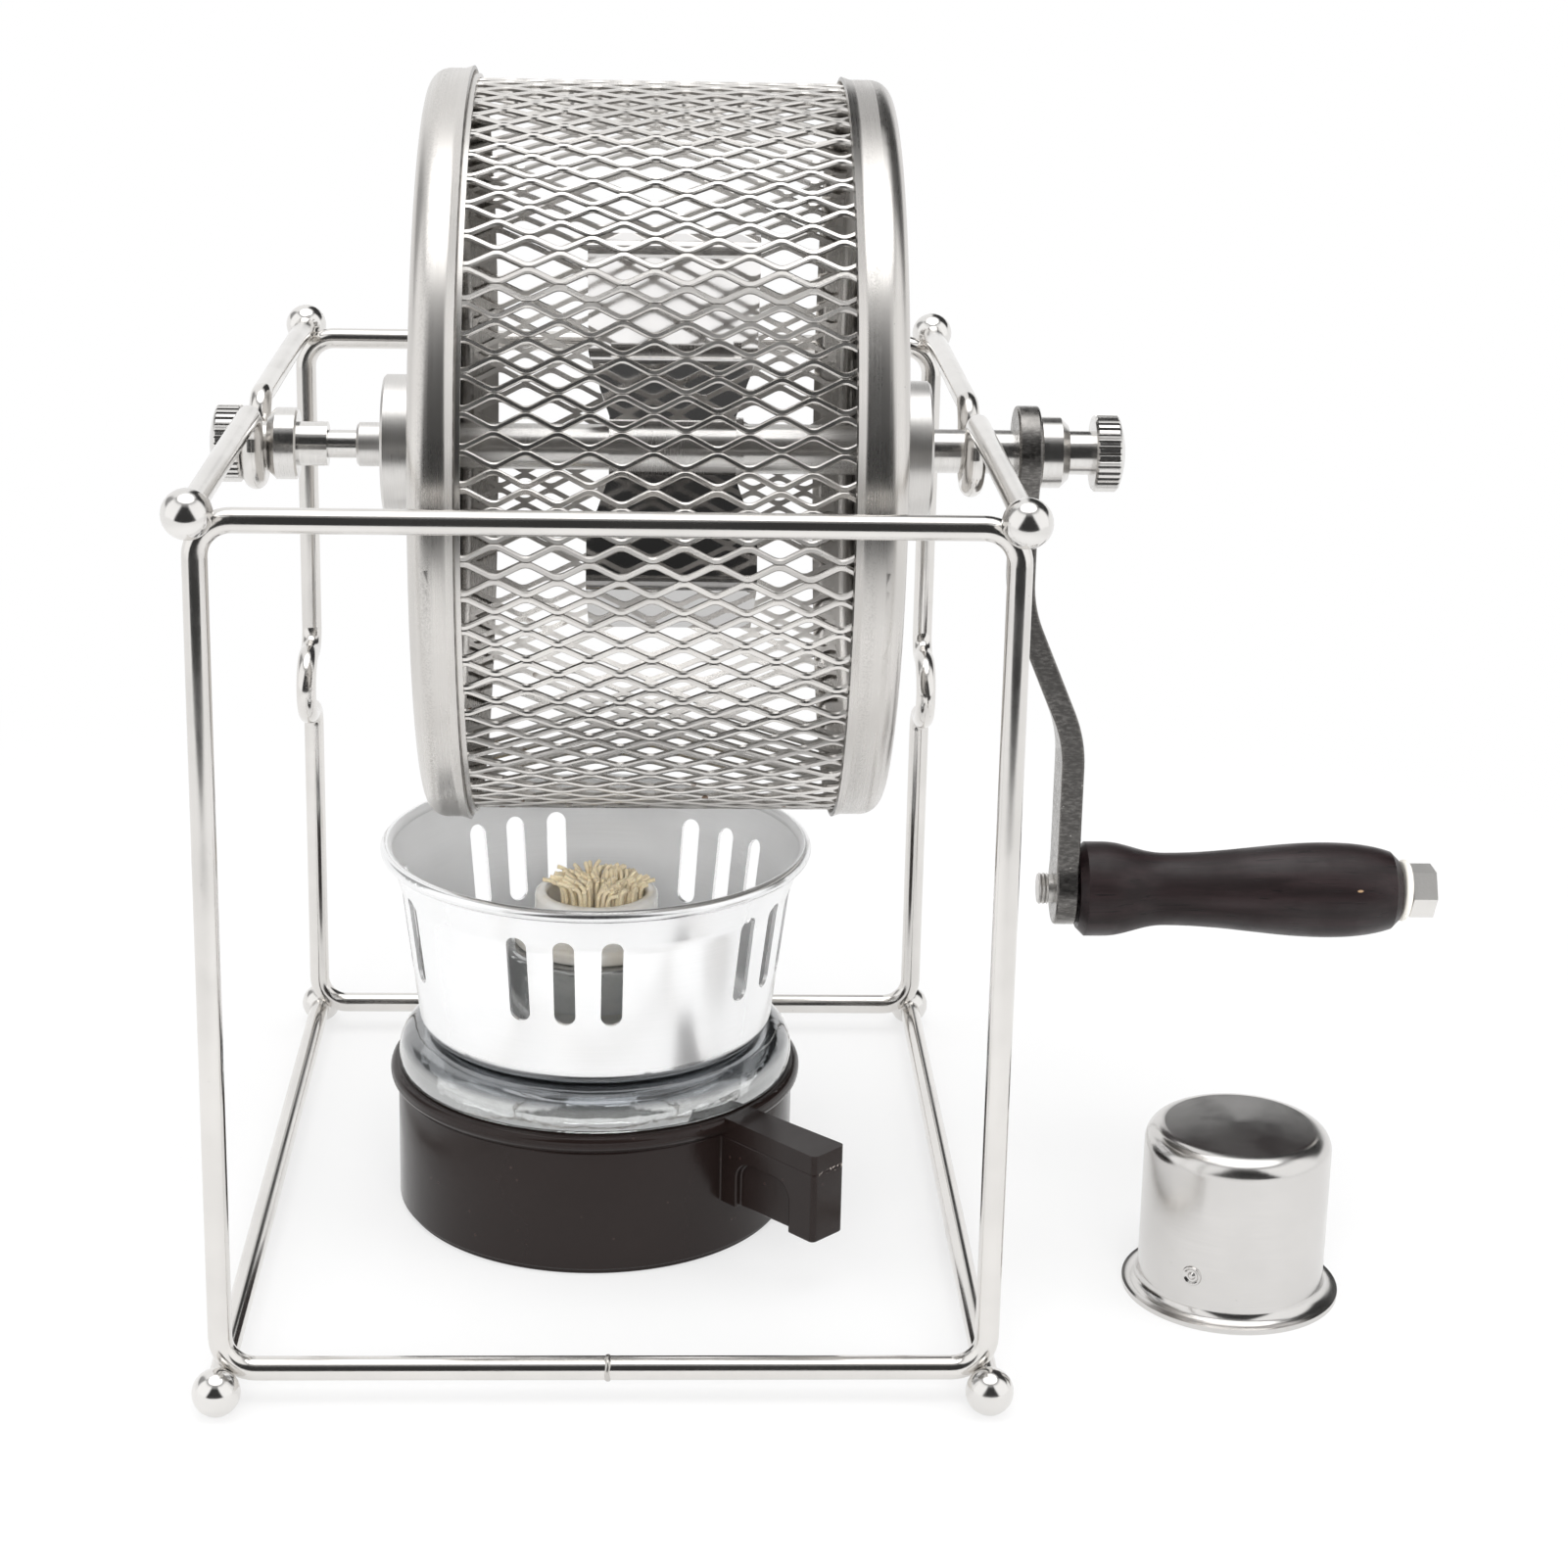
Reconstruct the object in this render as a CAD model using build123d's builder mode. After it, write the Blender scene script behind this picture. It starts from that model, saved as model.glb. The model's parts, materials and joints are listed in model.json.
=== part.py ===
from build123d import *

import os
from math import atan2, cos, isclose, pi, radians, sin, sqrt

os.makedirs("parts", exist_ok=True)

# Hand-crank coffee roaster. Millimetres, +Z up, +X to the crank, the viewer's side at -Y.
# The origin is on the table, under the middle of the wire stand.

# Wire stand
WIRE_D = 4.5
STAND_WIDTH = 143.0  # between the side rails' centre lines
STAND_DEPTH = 189.0  # between the balls' centres, front to back
STAND_RISE = 165.9  # from the bottom rails' to the top rails' centre lines
BALL_D = 9.0
LOOP_SETBACK = 5.1  # from the balls' centres in to the loops' planes
LOOP_BEND_R = 6.5  # centre line of the loops' corners
LEG_TUCK = 0.3  # from the side rails' centre lines in to the legs'
WELD_GAP = 0.02  # between pieces welded side by side
CRADLE_SHOULDER_R = 5.0  # centre line of a cradle's two upper bends
CRADLE_WALL = 2.6  # straight part of a cradle above the journal's axis
CRADLE_GAP = 0.3  # between the journal and the wire
LEG_CRADLE_Z = 88.8  # height of the U bent into each rear leg

# Shaft and thumb nuts
JOURNAL_D = 8.8
STEM_D = 5.6
THREAD_D = 5.0
THREAD_GAP = 0.05  # radial, between a thread and its nut
THREAD_END_GAP = 0.5
LEFT_SHAFT_D = 9.1
RIGHT_SHAFT_D = 10.0
RIGHT_SHAFT_LENGTH = 26.9
DRIVE_SQUARE = 6.0
SEAT_GAP = 0.05  # between a shaft and a piece seated on it
NECK_LENGTH = 5.1
NUT_COLLAR_D = 14.3
NUT_COLLAR_LENGTH = 5.9
NUT_CHAMFER = 1.6  # on the collar's edge beside the neck
NUT_SEAT_CHAMFER = 0.4
BOSS_LENGTH = 5.85
KNOB_D = 15.6
KNOB_LENGTH = 5.1
KNOB_CHAMFER = 0.5
KNOB_DOME = 1.4
KNOB_FLOOR = 3.0  # metal left between the thread's hole and the dome
KNURL_COUNT = 36
KNURL_DEPTH = 0.35

# Drum
STEM_BARE = 5.8  # bare stem between the lid's hub and the left nut
HUB_COLLAR_LENGTH = 5.4
HUB_FLANGE_D = 28.0
HUB_FLANGE_T = 9.6
HUB_CHAMFER = 0.5
RIGHT_HUB_TO_RAIL = 8.7  # from the right hub's face to the rail's centre line
DRUM_SHEET = 0.8
MESH_D = 144.4
MESH_SHEET = 1.0
MESH_ROWS = 42
MESH_CELL = 17.1  # long way of a diamond, along the drum
MESH_STRAND = 1.9
MESH_HEM = 2.0  # unpierced edge at each end
MESH_SEAT_GAP = 0.05
LID_DEPTH = 8.4
LID_GAP = 0.2  # radial, between the lid and the band under it
BAND_PROUD = 1.2  # band showing past the lid's lip
CAP_DEPTH = 9.5
RIM_BEND_R = 4.0  # outer corner of the lid and the cap
LIP_FLARE = 0.55
LIP_WIDTH = 1.6

# Stirring paddle
RING_D = 12.4
RING_WIDTH = 1.5
SLEEVE_D = 11.2
SLEEVE_LENGTH = 25.3
PADDLE_SHEET = 0.9
PADDLE_WIDTH = 34.0
PADDLE_BEND_R = 2.0
PADDLE_FLARE = 13.0  # length over which a blade widens from the sleeve
UPPER_CREASE_Y = 8.0  # blades' bends and tips, from the shaft's axis
UPPER_CREASE_Z = 16.2
UPPER_EDGE_Y = -3.0
UPPER_EDGE_Z = 40.6
UPPER_LIP_BACK = 4.7
UPPER_LIP_RISE = 1.7
LOWER_CREASE_Y = -13.0
LOWER_CREASE_Z = -25.2
LOWER_TIP_Y = 20.0
LOWER_TIP_Z = -42.3

# Crank
RAIL_TO_ARM = 8.7  # from the right rail's centre line to the arm's face
ARM_T = 4.7
ARM_OFFSET = 11.9  # sideways step of the S bend
ARM_BEND_R = 28.0  # centre line
ARM_BEND_START = 31.8  # below the shaft's axis
ARM_BEND_END = 59.8
ARM_TOP_R = 9.3
ARM_SHANK_WIDTH = 12.0
ARM_WAIST_R = 8.0
ARM_LOW_R = 7.5
CRANK_R = 93.3
BOLT_D = 6.0
BOLT_GAP = 0.08  # radial, inside the turning grip
BOLT_STUB = 3.2  # bolt showing inside the arm
HEX_FLATS = 10.0
HEX_HEIGHT = 5.0
GRIP_LENGTH = 68.0
GRIP_GAP = 0.3
GRIP_FLANGE_D = 19.8
GRIP_FLANGE_WIDTH = 5.2
GRIP_NECK_D = 15.2
GRIP_NECK_AT = 18.5  # from the grip's inner end
GRIP_BULGE_D = 19.8
GRIP_BULGE_AT = 49.0  # from the grip's inner end
GRIP_END_D = 16.4
GRIP_END_FALL = 0.35  # slope of the grip's side where it reaches the end
GRIP_EDGE = 1.6
WASHER_D = 13.0
WASHER_T = 1.6
WASHER_PLAY = 0.9  # between the grip's end and the washer

# Burner
BURNER_X = -3.5
BURNER_Y = 2.0
CUP_R = 41.6
CUP_WALL = 2.2
CUP_FLOOR = 2.5
CUP_TOP = 27.0
FOOT_INSET = 0.9
FOOT_HEIGHT = 1.2
COLLAR_R = 43.2
COLLAR_HEIGHT = 4.0
COLLAR_EDGE = 1.4
HANDLE_AZIMUTH = -46.0
HANDLE_REACH = 68.0
HANDLE_ROOT_WIDTH = 7.5
HANDLE_END_WIDTH = 9.0
HANDLE_BOTTOM = 12.3
HANDLE_EDGE = 1.2
HANDLE_RECESS = 1.3  # depth of the arched hollow in each side of the handle
RECESS_START = 46.0  # from the burner's axis
RECESS_LENGTH = 15.0
RECESS_HEIGHT = 10.5
RECESS_TOP_R = 4.0
BOWL_GAP = 0.4  # between the glass and the cup
BOWL_WALL = 2.6
BOWL_R = 41.4  # glass above the collar
BOWL_SHOULDER_R = 5.1  # rounding of the glass below its plateau
BOWL_SHOULDER_H = 7.8  # from the collar's top to the glass plateau
BOWL_FLOOR_GAP = 1.0  # between the cup's floor and the glass
BOWL_CORNER_R = 6.0
GLASS_NECK_R = 19.5
GLASS_NECK_WALL = 4.0
GLASS_NECK_HEIGHT = 18.2  # above the plateau
HOLDER_R = 12.9
HOLDER_WALL = 2.7
HOLDER_RISE = 8.0  # tube above the flange
HOLDER_FLANGE_R = 17.2
HOLDER_FLANGE_T = 3.0
HOLDER_PLUG = 11.0  # length inside the glass neck
HOLDER_GAP = 0.3
HOLDER_EDGE = 0.8
WICK_GAP = 0.4
WICK_PROUD = 5.0
WICK_FOOT_GAP = 1.5
WICK_TIP_R = 5.0
SHIELD_SHEET = 0.8
SHIELD_GAP = 0.3  # between the glass neck and the windshield's hole
SHIELD_BOTTOM_R = 36.6
SHIELD_MOUTH_R = 40.5
SHIELD_CORNER_R = 3.8
SHIELD_WALL_H = 31.0  # up to where the mouth flares
SHIELD_FLARE_H = 8.3  # from there to the middle of the bead
SHIELD_FLARE_BEND_R = 10.0
SHIELD_BEAD_D = 2.5
SHIELD_RIM_R = 44.7
SLOT_GROUPS = 5
SLOTS_PER_GROUP = 3
SLOT_PITCH = 13.8  # degrees
SLOT_AZIMUTH = -98.3  # of the front group's middle slot
SLOT_WIDTH = 4.3
SLOT_LENGTH = 18.6
SLOT_MIDDLE_H = 23.6  # above the windshield's bottom

# Snuffer cap
SNUFFER_X = 125.9
SNUFFER_Y = -43.0
SNUFFER_R = 18.6
SNUFFER_HEIGHT = 35.8
SNUFFER_SHEET = 0.8
SNUFFER_BRIM_R = 21.7
SNUFFER_BRIM_T = 1.0
SNUFFER_BEND_R = 4.0
SNUFFER_FLARE_R = 2.5  # bell curve from the wall to the brim
SNUFFER_CROWN = 0.8  # rise of the domed top
DIMPLE_COUNT = 3
DIMPLE_R = 2.0
DIMPLE_DEPTH = 0.4
DIMPLE_HEIGHT = 10.4
DIMPLE_AZIMUTH = -125.0

# Places worked out from the sizes above: stand
WIRE_R = WIRE_D / 2
BALL_R = BALL_D / 2
RAIL_X = STAND_WIDTH / 2
BALL_Y = STAND_DEPTH / 2
BOTTOM_Z = BALL_R
TOP_Z = BOTTOM_Z + STAND_RISE
RAIL_END_Y = BALL_Y - sqrt(BALL_R**2 - WIRE_R**2)
LOOP_Y = BALL_Y - LOOP_SETBACK
BEND_TO_RAIL = LOOP_BEND_R + WIRE_D + WELD_GAP
BAR_TUCK = sqrt(BEND_TO_RAIL**2 - (LOOP_BEND_R + LEG_TUCK) ** 2) - LOOP_BEND_R
LEG_X = RAIL_X - LEG_TUCK
LOOP_BOTTOM_Z = BOTTOM_Z + BAR_TUCK
LOOP_TOP_Z = TOP_Z - BAR_TUCK
CRADLE_R = JOURNAL_D / 2 + CRADLE_GAP + WIRE_R
CRADLE_HALF = CRADLE_R + CRADLE_SHOULDER_R
AXIS_Z = TOP_Z - CRADLE_SHOULDER_R - CRADLE_WALL

# Along the shaft, from the left rail to the crank's grip
COLLAR_X = -RAIL_X + NECK_LENGTH / 2 + NUT_COLLAR_LENGTH
LEFT_NUT_X = COLLAR_X + BOSS_LENGTH
LID_HUB_X = LEFT_NUT_X + STEM_BARE
LID_FLANGE_X = LID_HUB_X + HUB_COLLAR_LENGTH
LID_X = LID_FLANGE_X + HUB_FLANGE_T
LID_INSIDE_X = LID_X + DRUM_SHEET
LIP_X = LID_X + LID_DEPTH
BAND_END_X = LIP_X + BAND_PROUD
HUB_FACE_X = RAIL_X - RIGHT_HUB_TO_RAIL
CAP_X = HUB_FACE_X - HUB_FLANGE_T
CAP_INSIDE_X = CAP_X - DRUM_SHEET
CAP_LIP_X = CAP_X - CAP_DEPTH
MESH_LEFT_X = LID_X + RIM_BEND_R
MESH_RIGHT_X = CAP_X - RIM_BEND_R
SHAFT_STEP_X = CAP_INSIDE_X - RIGHT_SHAFT_LENGTH
RING_X = SHAFT_STEP_X - RING_WIDTH
SLEEVE_X = RING_X - SLEEVE_LENGTH
PADDLE_X = SLEEVE_X + SLEEVE_LENGTH / 2
ARM_X = RAIL_X + RAIL_TO_ARM
RIGHT_NUT_X = ARM_X + ARM_T
NUT_HOLE_DEPTH = NUT_COLLAR_LENGTH + NECK_LENGTH + KNOB_LENGTH - KNOB_FLOOR
LEFT_TAIL_X = COLLAR_X - NUT_HOLE_DEPTH + THREAD_END_GAP
RIGHT_TAIL_X = RIGHT_NUT_X + NUT_HOLE_DEPTH - THREAD_END_GAP
LOW_ARM_X = ARM_X + ARM_OFFSET
GRIP_X = LOW_ARM_X + ARM_T + GRIP_GAP
GRIP_END_X = GRIP_X + GRIP_LENGTH
WASHER_X = GRIP_END_X + WASHER_PLAY
HEX_X = WASHER_X + WASHER_T
GRIP_Z = AXIS_Z - CRANK_R

# Out from the shaft's axis
MESH_R = MESH_D / 2
BAND_R = MESH_R + MESH_SEAT_GAP + DRUM_SHEET
LID_R = BAND_R + LID_GAP + DRUM_SHEET
CAP_R = MESH_R + MESH_SEAT_GAP + DRUM_SHEET
STEM_HOLE_R = STEM_D / 2 + SEAT_GAP
JOURNAL_HOLE_R = JOURNAL_D / 2 + SEAT_GAP
LEFT_SHAFT_HOLE_R = LEFT_SHAFT_D / 2 + SEAT_GAP
THREAD_HOLE_R = THREAD_D / 2 + THREAD_GAP

# Up the burner
CUP_BORE_R = CUP_R - CUP_WALL
COLLAR_TOP = CUP_TOP + COLLAR_HEIGHT
BOWL_BOTTOM = CUP_FLOOR + BOWL_FLOOR_GAP
BOWL_TOP = COLLAR_TOP + BOWL_SHOULDER_H
BOWL_LOW_R = CUP_BORE_R - BOWL_GAP
GLASS_NECK_TOP = BOWL_TOP + GLASS_NECK_HEIGHT
GLASS_NECK_BORE_R = GLASS_NECK_R - GLASS_NECK_WALL
FLANGE_TOP = GLASS_NECK_TOP + HOLDER_FLANGE_T
HOLDER_TOP = FLANGE_TOP + HOLDER_RISE
HOLDER_BORE_R = HOLDER_R - HOLDER_WALL
SHIELD_FLARE_Z = BOWL_TOP + SHIELD_WALL_H
BEAD_R = SHIELD_BEAD_D / 2
BEAD_Z = SHIELD_FLARE_Z + SHIELD_FLARE_H
BEAD_RING_R = SHIELD_RIM_R - BEAD_R

# Section planes: first axis along the shaft or out from a standing axis, second axis up
AXLE = Plane(origin=(0, 0, AXIS_Z), x_dir=(1, 0, 0), z_dir=(0, -1, 0))
AXLE_AXIS = Axis((0, 0, AXIS_Z), (1, 0, 0))
GRIP = Plane(origin=(0, 0, GRIP_Z), x_dir=(1, 0, 0), z_dir=(0, -1, 0))
GRIP_AXIS = Axis((0, 0, GRIP_Z), (1, 0, 0))
BURNER = Plane(origin=(BURNER_X, BURNER_Y, 0), x_dir=(1, 0, 0), z_dir=(0, -1, 0))
BURNER_AXIS = Axis((BURNER_X, BURNER_Y, 0), (0, 0, 1))
SNUFFER = Plane(origin=(SNUFFER_X, SNUFFER_Y, 0), x_dir=(1, 0, 0), z_dir=(0, -1, 0))
SNUFFER_AXIS = Axis((SNUFFER_X, SNUFFER_Y, 0), (0, 0, 1))


def outline(plane, *points):
    """Closed outline of straight lines on a plane."""
    with BuildSketch(plane) as drawn:
        with BuildLine():
            Polyline(*points, close=True)
        make_face()
    return drawn.sketch


def ring_outline(plane, start, end, outer_r, hole_r):
    """Half section of a plain ring between two places on a plane's first axis."""
    return outline(plane, (start, hole_r), (end, hole_r), (end, outer_r), (start, outer_r))


def sheet_outline(plane, points, radii, sheet, side):
    """Section of bent sheet: its outer line, rounded at the bends, and its thickness to one side."""
    with BuildSketch(plane) as drawn:
        with BuildLine():
            face_line = FilletPolyline(*points, radius=radii)
            offset(face_line, amount=sheet, side=side, mode=Mode.ADD)
        make_face()
    return drawn.sketch


def cradle(start, heading, turn):
    """U bend in a wire: a shoulder, a straight wall, the seat round the journal, and back the same way."""
    shoulder = JernArc(start, heading, CRADLE_SHOULDER_R, -90 * turn)
    wall = Line(shoulder @ 1, (shoulder @ 1) + (shoulder % 1) * CRADLE_WALL)
    seat = JernArc(wall @ 1, wall % 1, CRADLE_R, 180 * turn)
    back = Line(seat @ 1, (seat @ 1) + (seat % 1) * CRADLE_WALL)
    return JernArc(back @ 1, back % 1, CRADLE_SHOULDER_R, -90 * turn)


# Front and rear loops: half of each is swept and mirrored, and the halves join in the middle of the bars
for name, loop_y, leg_gap in (("front_loop", -LOOP_Y, 0), ("rear_loop", LOOP_Y, CRADLE_HALF)):
    loop_plane = Plane.XZ.offset(-loop_y)
    with BuildPart() as loop:
        with BuildLine(loop_plane):
            bar = Line((0, LOOP_BOTTOM_Z), (LEG_X - LOOP_BEND_R, LOOP_BOTTOM_Z))
            bend = JernArc(bar @ 1, bar % 1, LOOP_BEND_R, 90)
            leg = Line(bend @ 1, (LEG_X, LEG_CRADLE_Z - leg_gap))
        if leg_gap:
            with BuildLine(Plane.YZ.offset(LEG_X)):
                cradle(leg @ 1, leg % 1, -1)
        with BuildLine(loop_plane):
            upper_leg = Line((LEG_X, LEG_CRADLE_Z + leg_gap), (LEG_X, LOOP_TOP_Z - LOOP_BEND_R))
            upper_bend = JernArc(upper_leg @ 1, upper_leg % 1, LOOP_BEND_R, 90)
            Line(upper_bend @ 1, (0, LOOP_TOP_Z))
        with BuildSketch(Plane(bar @ 0, z_dir=bar % 0)):
            Circle(WIRE_R)
        sweep()
        mirror(about=Plane.YZ)
    loop.part.label = name
    export_step(loop.part, f"parts/{name}.step")

# Side rails: the top ones dip in the middle to carry the drum, the bottom ones are straight
for name, rail_x in (("left", -RAIL_X), ("right", RAIL_X)):
    with BuildPart() as top_rail:
        with BuildLine(Plane.YZ.offset(rail_x)):
            lead = Line((-RAIL_END_Y, TOP_Z), (-CRADLE_HALF, TOP_Z))
            dip = cradle(lead @ 1, lead % 1, 1)
            Line(dip @ 1, (RAIL_END_Y, TOP_Z))
        with BuildSketch(Plane(lead @ 0, z_dir=lead % 0)):
            Circle(WIRE_R)
        sweep()
    top_rail.part.label = f"{name}_top_rail"
    export_step(top_rail.part, f"parts/{name}_top_rail.step")

    with BuildPart() as bottom_rail:
        with BuildSketch(Plane.XZ):
            with Locations((rail_x, BOTTOM_Z)):
                Circle(WIRE_R)
        extrude(amount=RAIL_END_Y, both=True)
    bottom_rail.part.label = f"{name}_bottom_rail"
    export_step(bottom_rail.part, f"parts/{name}_bottom_rail.step")

# Balls, each with a flat where the rail's end is welded on
for name, ball_z in (("top_ball_ends", TOP_Z), ("ball_feet", BOTTOM_Z)):
    with BuildPart() as balls:
        with Locations(*[(x, y, ball_z) for x in (-RAIL_X, RAIL_X) for y in (-BALL_Y, BALL_Y)]):
            Sphere(BALL_R)
        with BuildSketch(Plane.XZ):
            with Locations((-RAIL_X, ball_z), (RAIL_X, ball_z)):
                Circle(BALL_R)
        extrude(amount=RAIL_END_Y, both=True, mode=Mode.SUBTRACT)
    balls.part.label = name
    export_step(balls.part, f"parts/{name}.step")

# Drive shaft: thread and stem on the left, thick end on the right, then journal, square and thread
with BuildPart() as drive_shaft:
    thread_r = THREAD_D / 2
    stem_r = STEM_D / 2
    journal_r = JOURNAL_D / 2
    stem_start = LEFT_NUT_X + SEAT_GAP
    shoulder_x = LID_INSIDE_X + SEAT_GAP
    shaft_section = outline(
        AXLE,
        (LEFT_TAIL_X, 0),
        (LEFT_TAIL_X, thread_r),
        (stem_start, thread_r),
        (stem_start, stem_r),
        (shoulder_x, stem_r),
        (shoulder_x, LEFT_SHAFT_D / 2),
        (SHAFT_STEP_X, LEFT_SHAFT_D / 2),
        (SHAFT_STEP_X, RIGHT_SHAFT_D / 2),
        (CAP_INSIDE_X, RIGHT_SHAFT_D / 2),
        (CAP_INSIDE_X, journal_r),
        (ARM_X, journal_r),
        (ARM_X, thread_r),
        (RIGHT_TAIL_X, thread_r),
        (RIGHT_TAIL_X, 0),
    )
    revolve(shaft_section, axis=AXLE_AXIS)
    with BuildSketch(Plane.YZ.offset(ARM_X)):
        with Locations((0, AXIS_Z)):
            Rectangle(DRIVE_SQUARE, DRIVE_SQUARE)
    extrude(amount=ARM_T)
drive_shaft.part.label = "drive_shaft"
export_step(drive_shaft.part, "parts/drive_shaft.step")


def thumb_nut_outline(seat_x, boss, away):
    """Half section of a thumb nut from its seat out: boss, collar, neck, knob, dome and thread hole."""

    def at(along, radius):
        return (seat_x + away * along, radius)

    neck_r = JOURNAL_D / 2
    collar_r = NUT_COLLAR_D / 2
    knob_r = KNOB_D / 2
    face_r = knob_r - KNOB_CHAMFER
    collar_end = boss + NUT_COLLAR_LENGTH
    neck_end = collar_end + NECK_LENGTH
    knob_end = neck_end + KNOB_LENGTH
    dome_end = knob_end + KNOB_DOME
    hole_end = knob_end - KNOB_FLOOR
    boss_side = [at(0, neck_r), at(boss, neck_r)] if boss else []
    with BuildSketch(AXLE) as drawn:
        with BuildLine():
            Polyline(
                at(dome_end, 0),
                at(hole_end, 0),
                at(hole_end, THREAD_HOLE_R),
                at(0, THREAD_HOLE_R),
                *boss_side,
                at(boss, collar_r - NUT_SEAT_CHAMFER),
                at(boss + NUT_SEAT_CHAMFER, collar_r),
                at(collar_end - NUT_CHAMFER, collar_r),
                at(collar_end, collar_r - NUT_CHAMFER),
                at(collar_end, neck_r),
                at(neck_end, neck_r),
                at(neck_end, face_r),
                at(neck_end + KNOB_CHAMFER, knob_r),
                at(knob_end - KNOB_CHAMFER, knob_r),
                at(knob_end, face_r),
            )
            TangentArc(at(dome_end, 0), at(knob_end, face_r), tangent=(0, 1))
        make_face()
    return drawn.sketch


def knurl(seat_x, boss, away):
    """Row of small squares round a thumb nut's knob, whose inner corners cut its flutes."""
    knob_start = boss + NUT_COLLAR_LENGTH + NECK_LENGTH
    knob_plane = Plane(
        origin=(seat_x + away * knob_start, 0, AXIS_Z), x_dir=(0, 1, 0), z_dir=(away, 0, 0)
    )
    with BuildSketch(knob_plane) as drawn:
        with PolarLocations(KNOB_D / 2, KNURL_COUNT):
            RegularPolygon(KNURL_DEPTH, 4)
    return drawn.sketch


# Thumb nuts: the left one's neck is the drum's left journal, the right one holds the crank arm
for name, seat_x, boss, away in (
    ("left_thumb_nut", LEFT_NUT_X, BOSS_LENGTH, -1),
    ("right_thumb_nut", RIGHT_NUT_X + SEAT_GAP, 0, 1),
):
    with BuildPart() as thumb_nut:
        revolve(thumb_nut_outline(seat_x, boss, away), axis=AXLE_AXIS)
        extrude(knurl(seat_x, boss, away), amount=KNOB_LENGTH, mode=Mode.SUBTRACT)
    thumb_nut.part.label = name
    export_step(thumb_nut.part, f"parts/{name}.step")

# Lid on the left: a pressed cup over the band, and the hub that slides on the stem
with BuildPart() as left_end_cap:
    lid_line = [
        (LID_X, STEM_HOLE_R),
        (LID_X, LID_R),
        (LIP_X - LIP_WIDTH, LID_R),
        (LIP_X, LID_R + LIP_FLARE),
    ]
    revolve(
        sheet_outline(AXLE, lid_line, [RIM_BEND_R, LIP_WIDTH], DRUM_SHEET, Side.RIGHT), axis=AXLE_AXIS
    )
left_end_cap.part.label = "left_end_cap"
export_step(left_end_cap.part, "parts/left_end_cap.step")

with BuildPart() as left_hub:
    revolve(
        outline(
            AXLE,
            (LID_HUB_X, STEM_HOLE_R),
            (LID_HUB_X, JOURNAL_D / 2 - HUB_CHAMFER),
            (LID_HUB_X + HUB_CHAMFER, JOURNAL_D / 2),
            (LID_FLANGE_X, JOURNAL_D / 2),
            (LID_FLANGE_X, HUB_FLANGE_D / 2 - HUB_CHAMFER),
            (LID_FLANGE_X + HUB_CHAMFER, HUB_FLANGE_D / 2),
            (LID_X, HUB_FLANGE_D / 2),
            (LID_X, STEM_HOLE_R),
        ),
        axis=AXLE_AXIS,
    )
left_hub.part.label = "left_hub"
export_step(left_hub.part, "parts/left_hub.step")

# Fixed end on the right
with BuildPart() as right_end_cap:
    cap_line = [
        (CAP_X, JOURNAL_HOLE_R),
        (CAP_X, CAP_R),
        (CAP_LIP_X + LIP_WIDTH, CAP_R),
        (CAP_LIP_X, CAP_R + LIP_FLARE),
    ]
    revolve(
        sheet_outline(AXLE, cap_line, [RIM_BEND_R, LIP_WIDTH], DRUM_SHEET, Side.LEFT), axis=AXLE_AXIS
    )
right_end_cap.part.label = "right_end_cap"
export_step(right_end_cap.part, "parts/right_end_cap.step")

with BuildPart() as right_hub:
    revolve(
        outline(
            AXLE,
            (CAP_X, JOURNAL_HOLE_R),
            (CAP_X, HUB_FLANGE_D / 2),
            (HUB_FACE_X - HUB_CHAMFER, HUB_FLANGE_D / 2),
            (HUB_FACE_X, HUB_FLANGE_D / 2 - HUB_CHAMFER),
            (HUB_FACE_X, JOURNAL_HOLE_R),
        ),
        axis=AXLE_AXIS,
    )
right_hub.part.label = "right_hub"
export_step(right_hub.part, "parts/right_hub.step")

# Band that the mesh's left edge is welded into
with BuildPart() as left_drum_band:
    revolve(ring_outline(AXLE, MESH_LEFT_X, BAND_END_X, BAND_R, BAND_R - DRUM_SHEET), axis=AXLE_AXIS)
left_drum_band.part.label = "left_drum_band"
export_step(left_drum_band.part, "parts/left_drum_band.step")

# Expanded-metal wall: a rolled sheet pierced by staggered diamonds
with BuildPart() as drum_mesh:
    revolve(ring_outline(AXLE, MESH_LEFT_X, MESH_RIGHT_X, MESH_R, MESH_R - MESH_SHEET), axis=AXLE_AXIS)
    row_height = 2 * pi * MESH_R / MESH_ROWS
    slope = atan2(row_height, MESH_CELL)
    half_long = MESH_CELL / 2 - MESH_STRAND / 2 / sin(slope)
    half_short = row_height / 2 - MESH_STRAND / 2 / cos(slope)
    pierced_length = MESH_RIGHT_X - MESH_LEFT_X - 2 * MESH_HEM - 2 * half_long
    column_count = int(pierced_length / (MESH_CELL / 2)) + 1
    mesh_middle = (MESH_LEFT_X + MESH_RIGHT_X) / 2
    for column in range(column_count):
        column_x = mesh_middle + (column - (column_count - 1) / 2) * MESH_CELL / 2
        stagger = (column % 2) / 2
        for row in range(MESH_ROWS):
            turn = 2 * pi * (row + stagger) / MESH_ROWS
            outward = Vector(0, cos(turn), sin(turn))
            root = Vector(column_x, 0, AXIS_Z) + outward * (MESH_R - 2 * MESH_SHEET)
            with BuildSketch(Plane(root, x_dir=(1, 0, 0), z_dir=outward)):
                Polygon((-half_long, 0), (0, -half_short), (half_long, 0), (0, half_short), align=None)
    extrude(amount=4 * MESH_SHEET, mode=Mode.SUBTRACT)
drum_mesh.part.label = "drum_mesh"
export_step(drum_mesh.part, "parts/drum_mesh.step")

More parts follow.
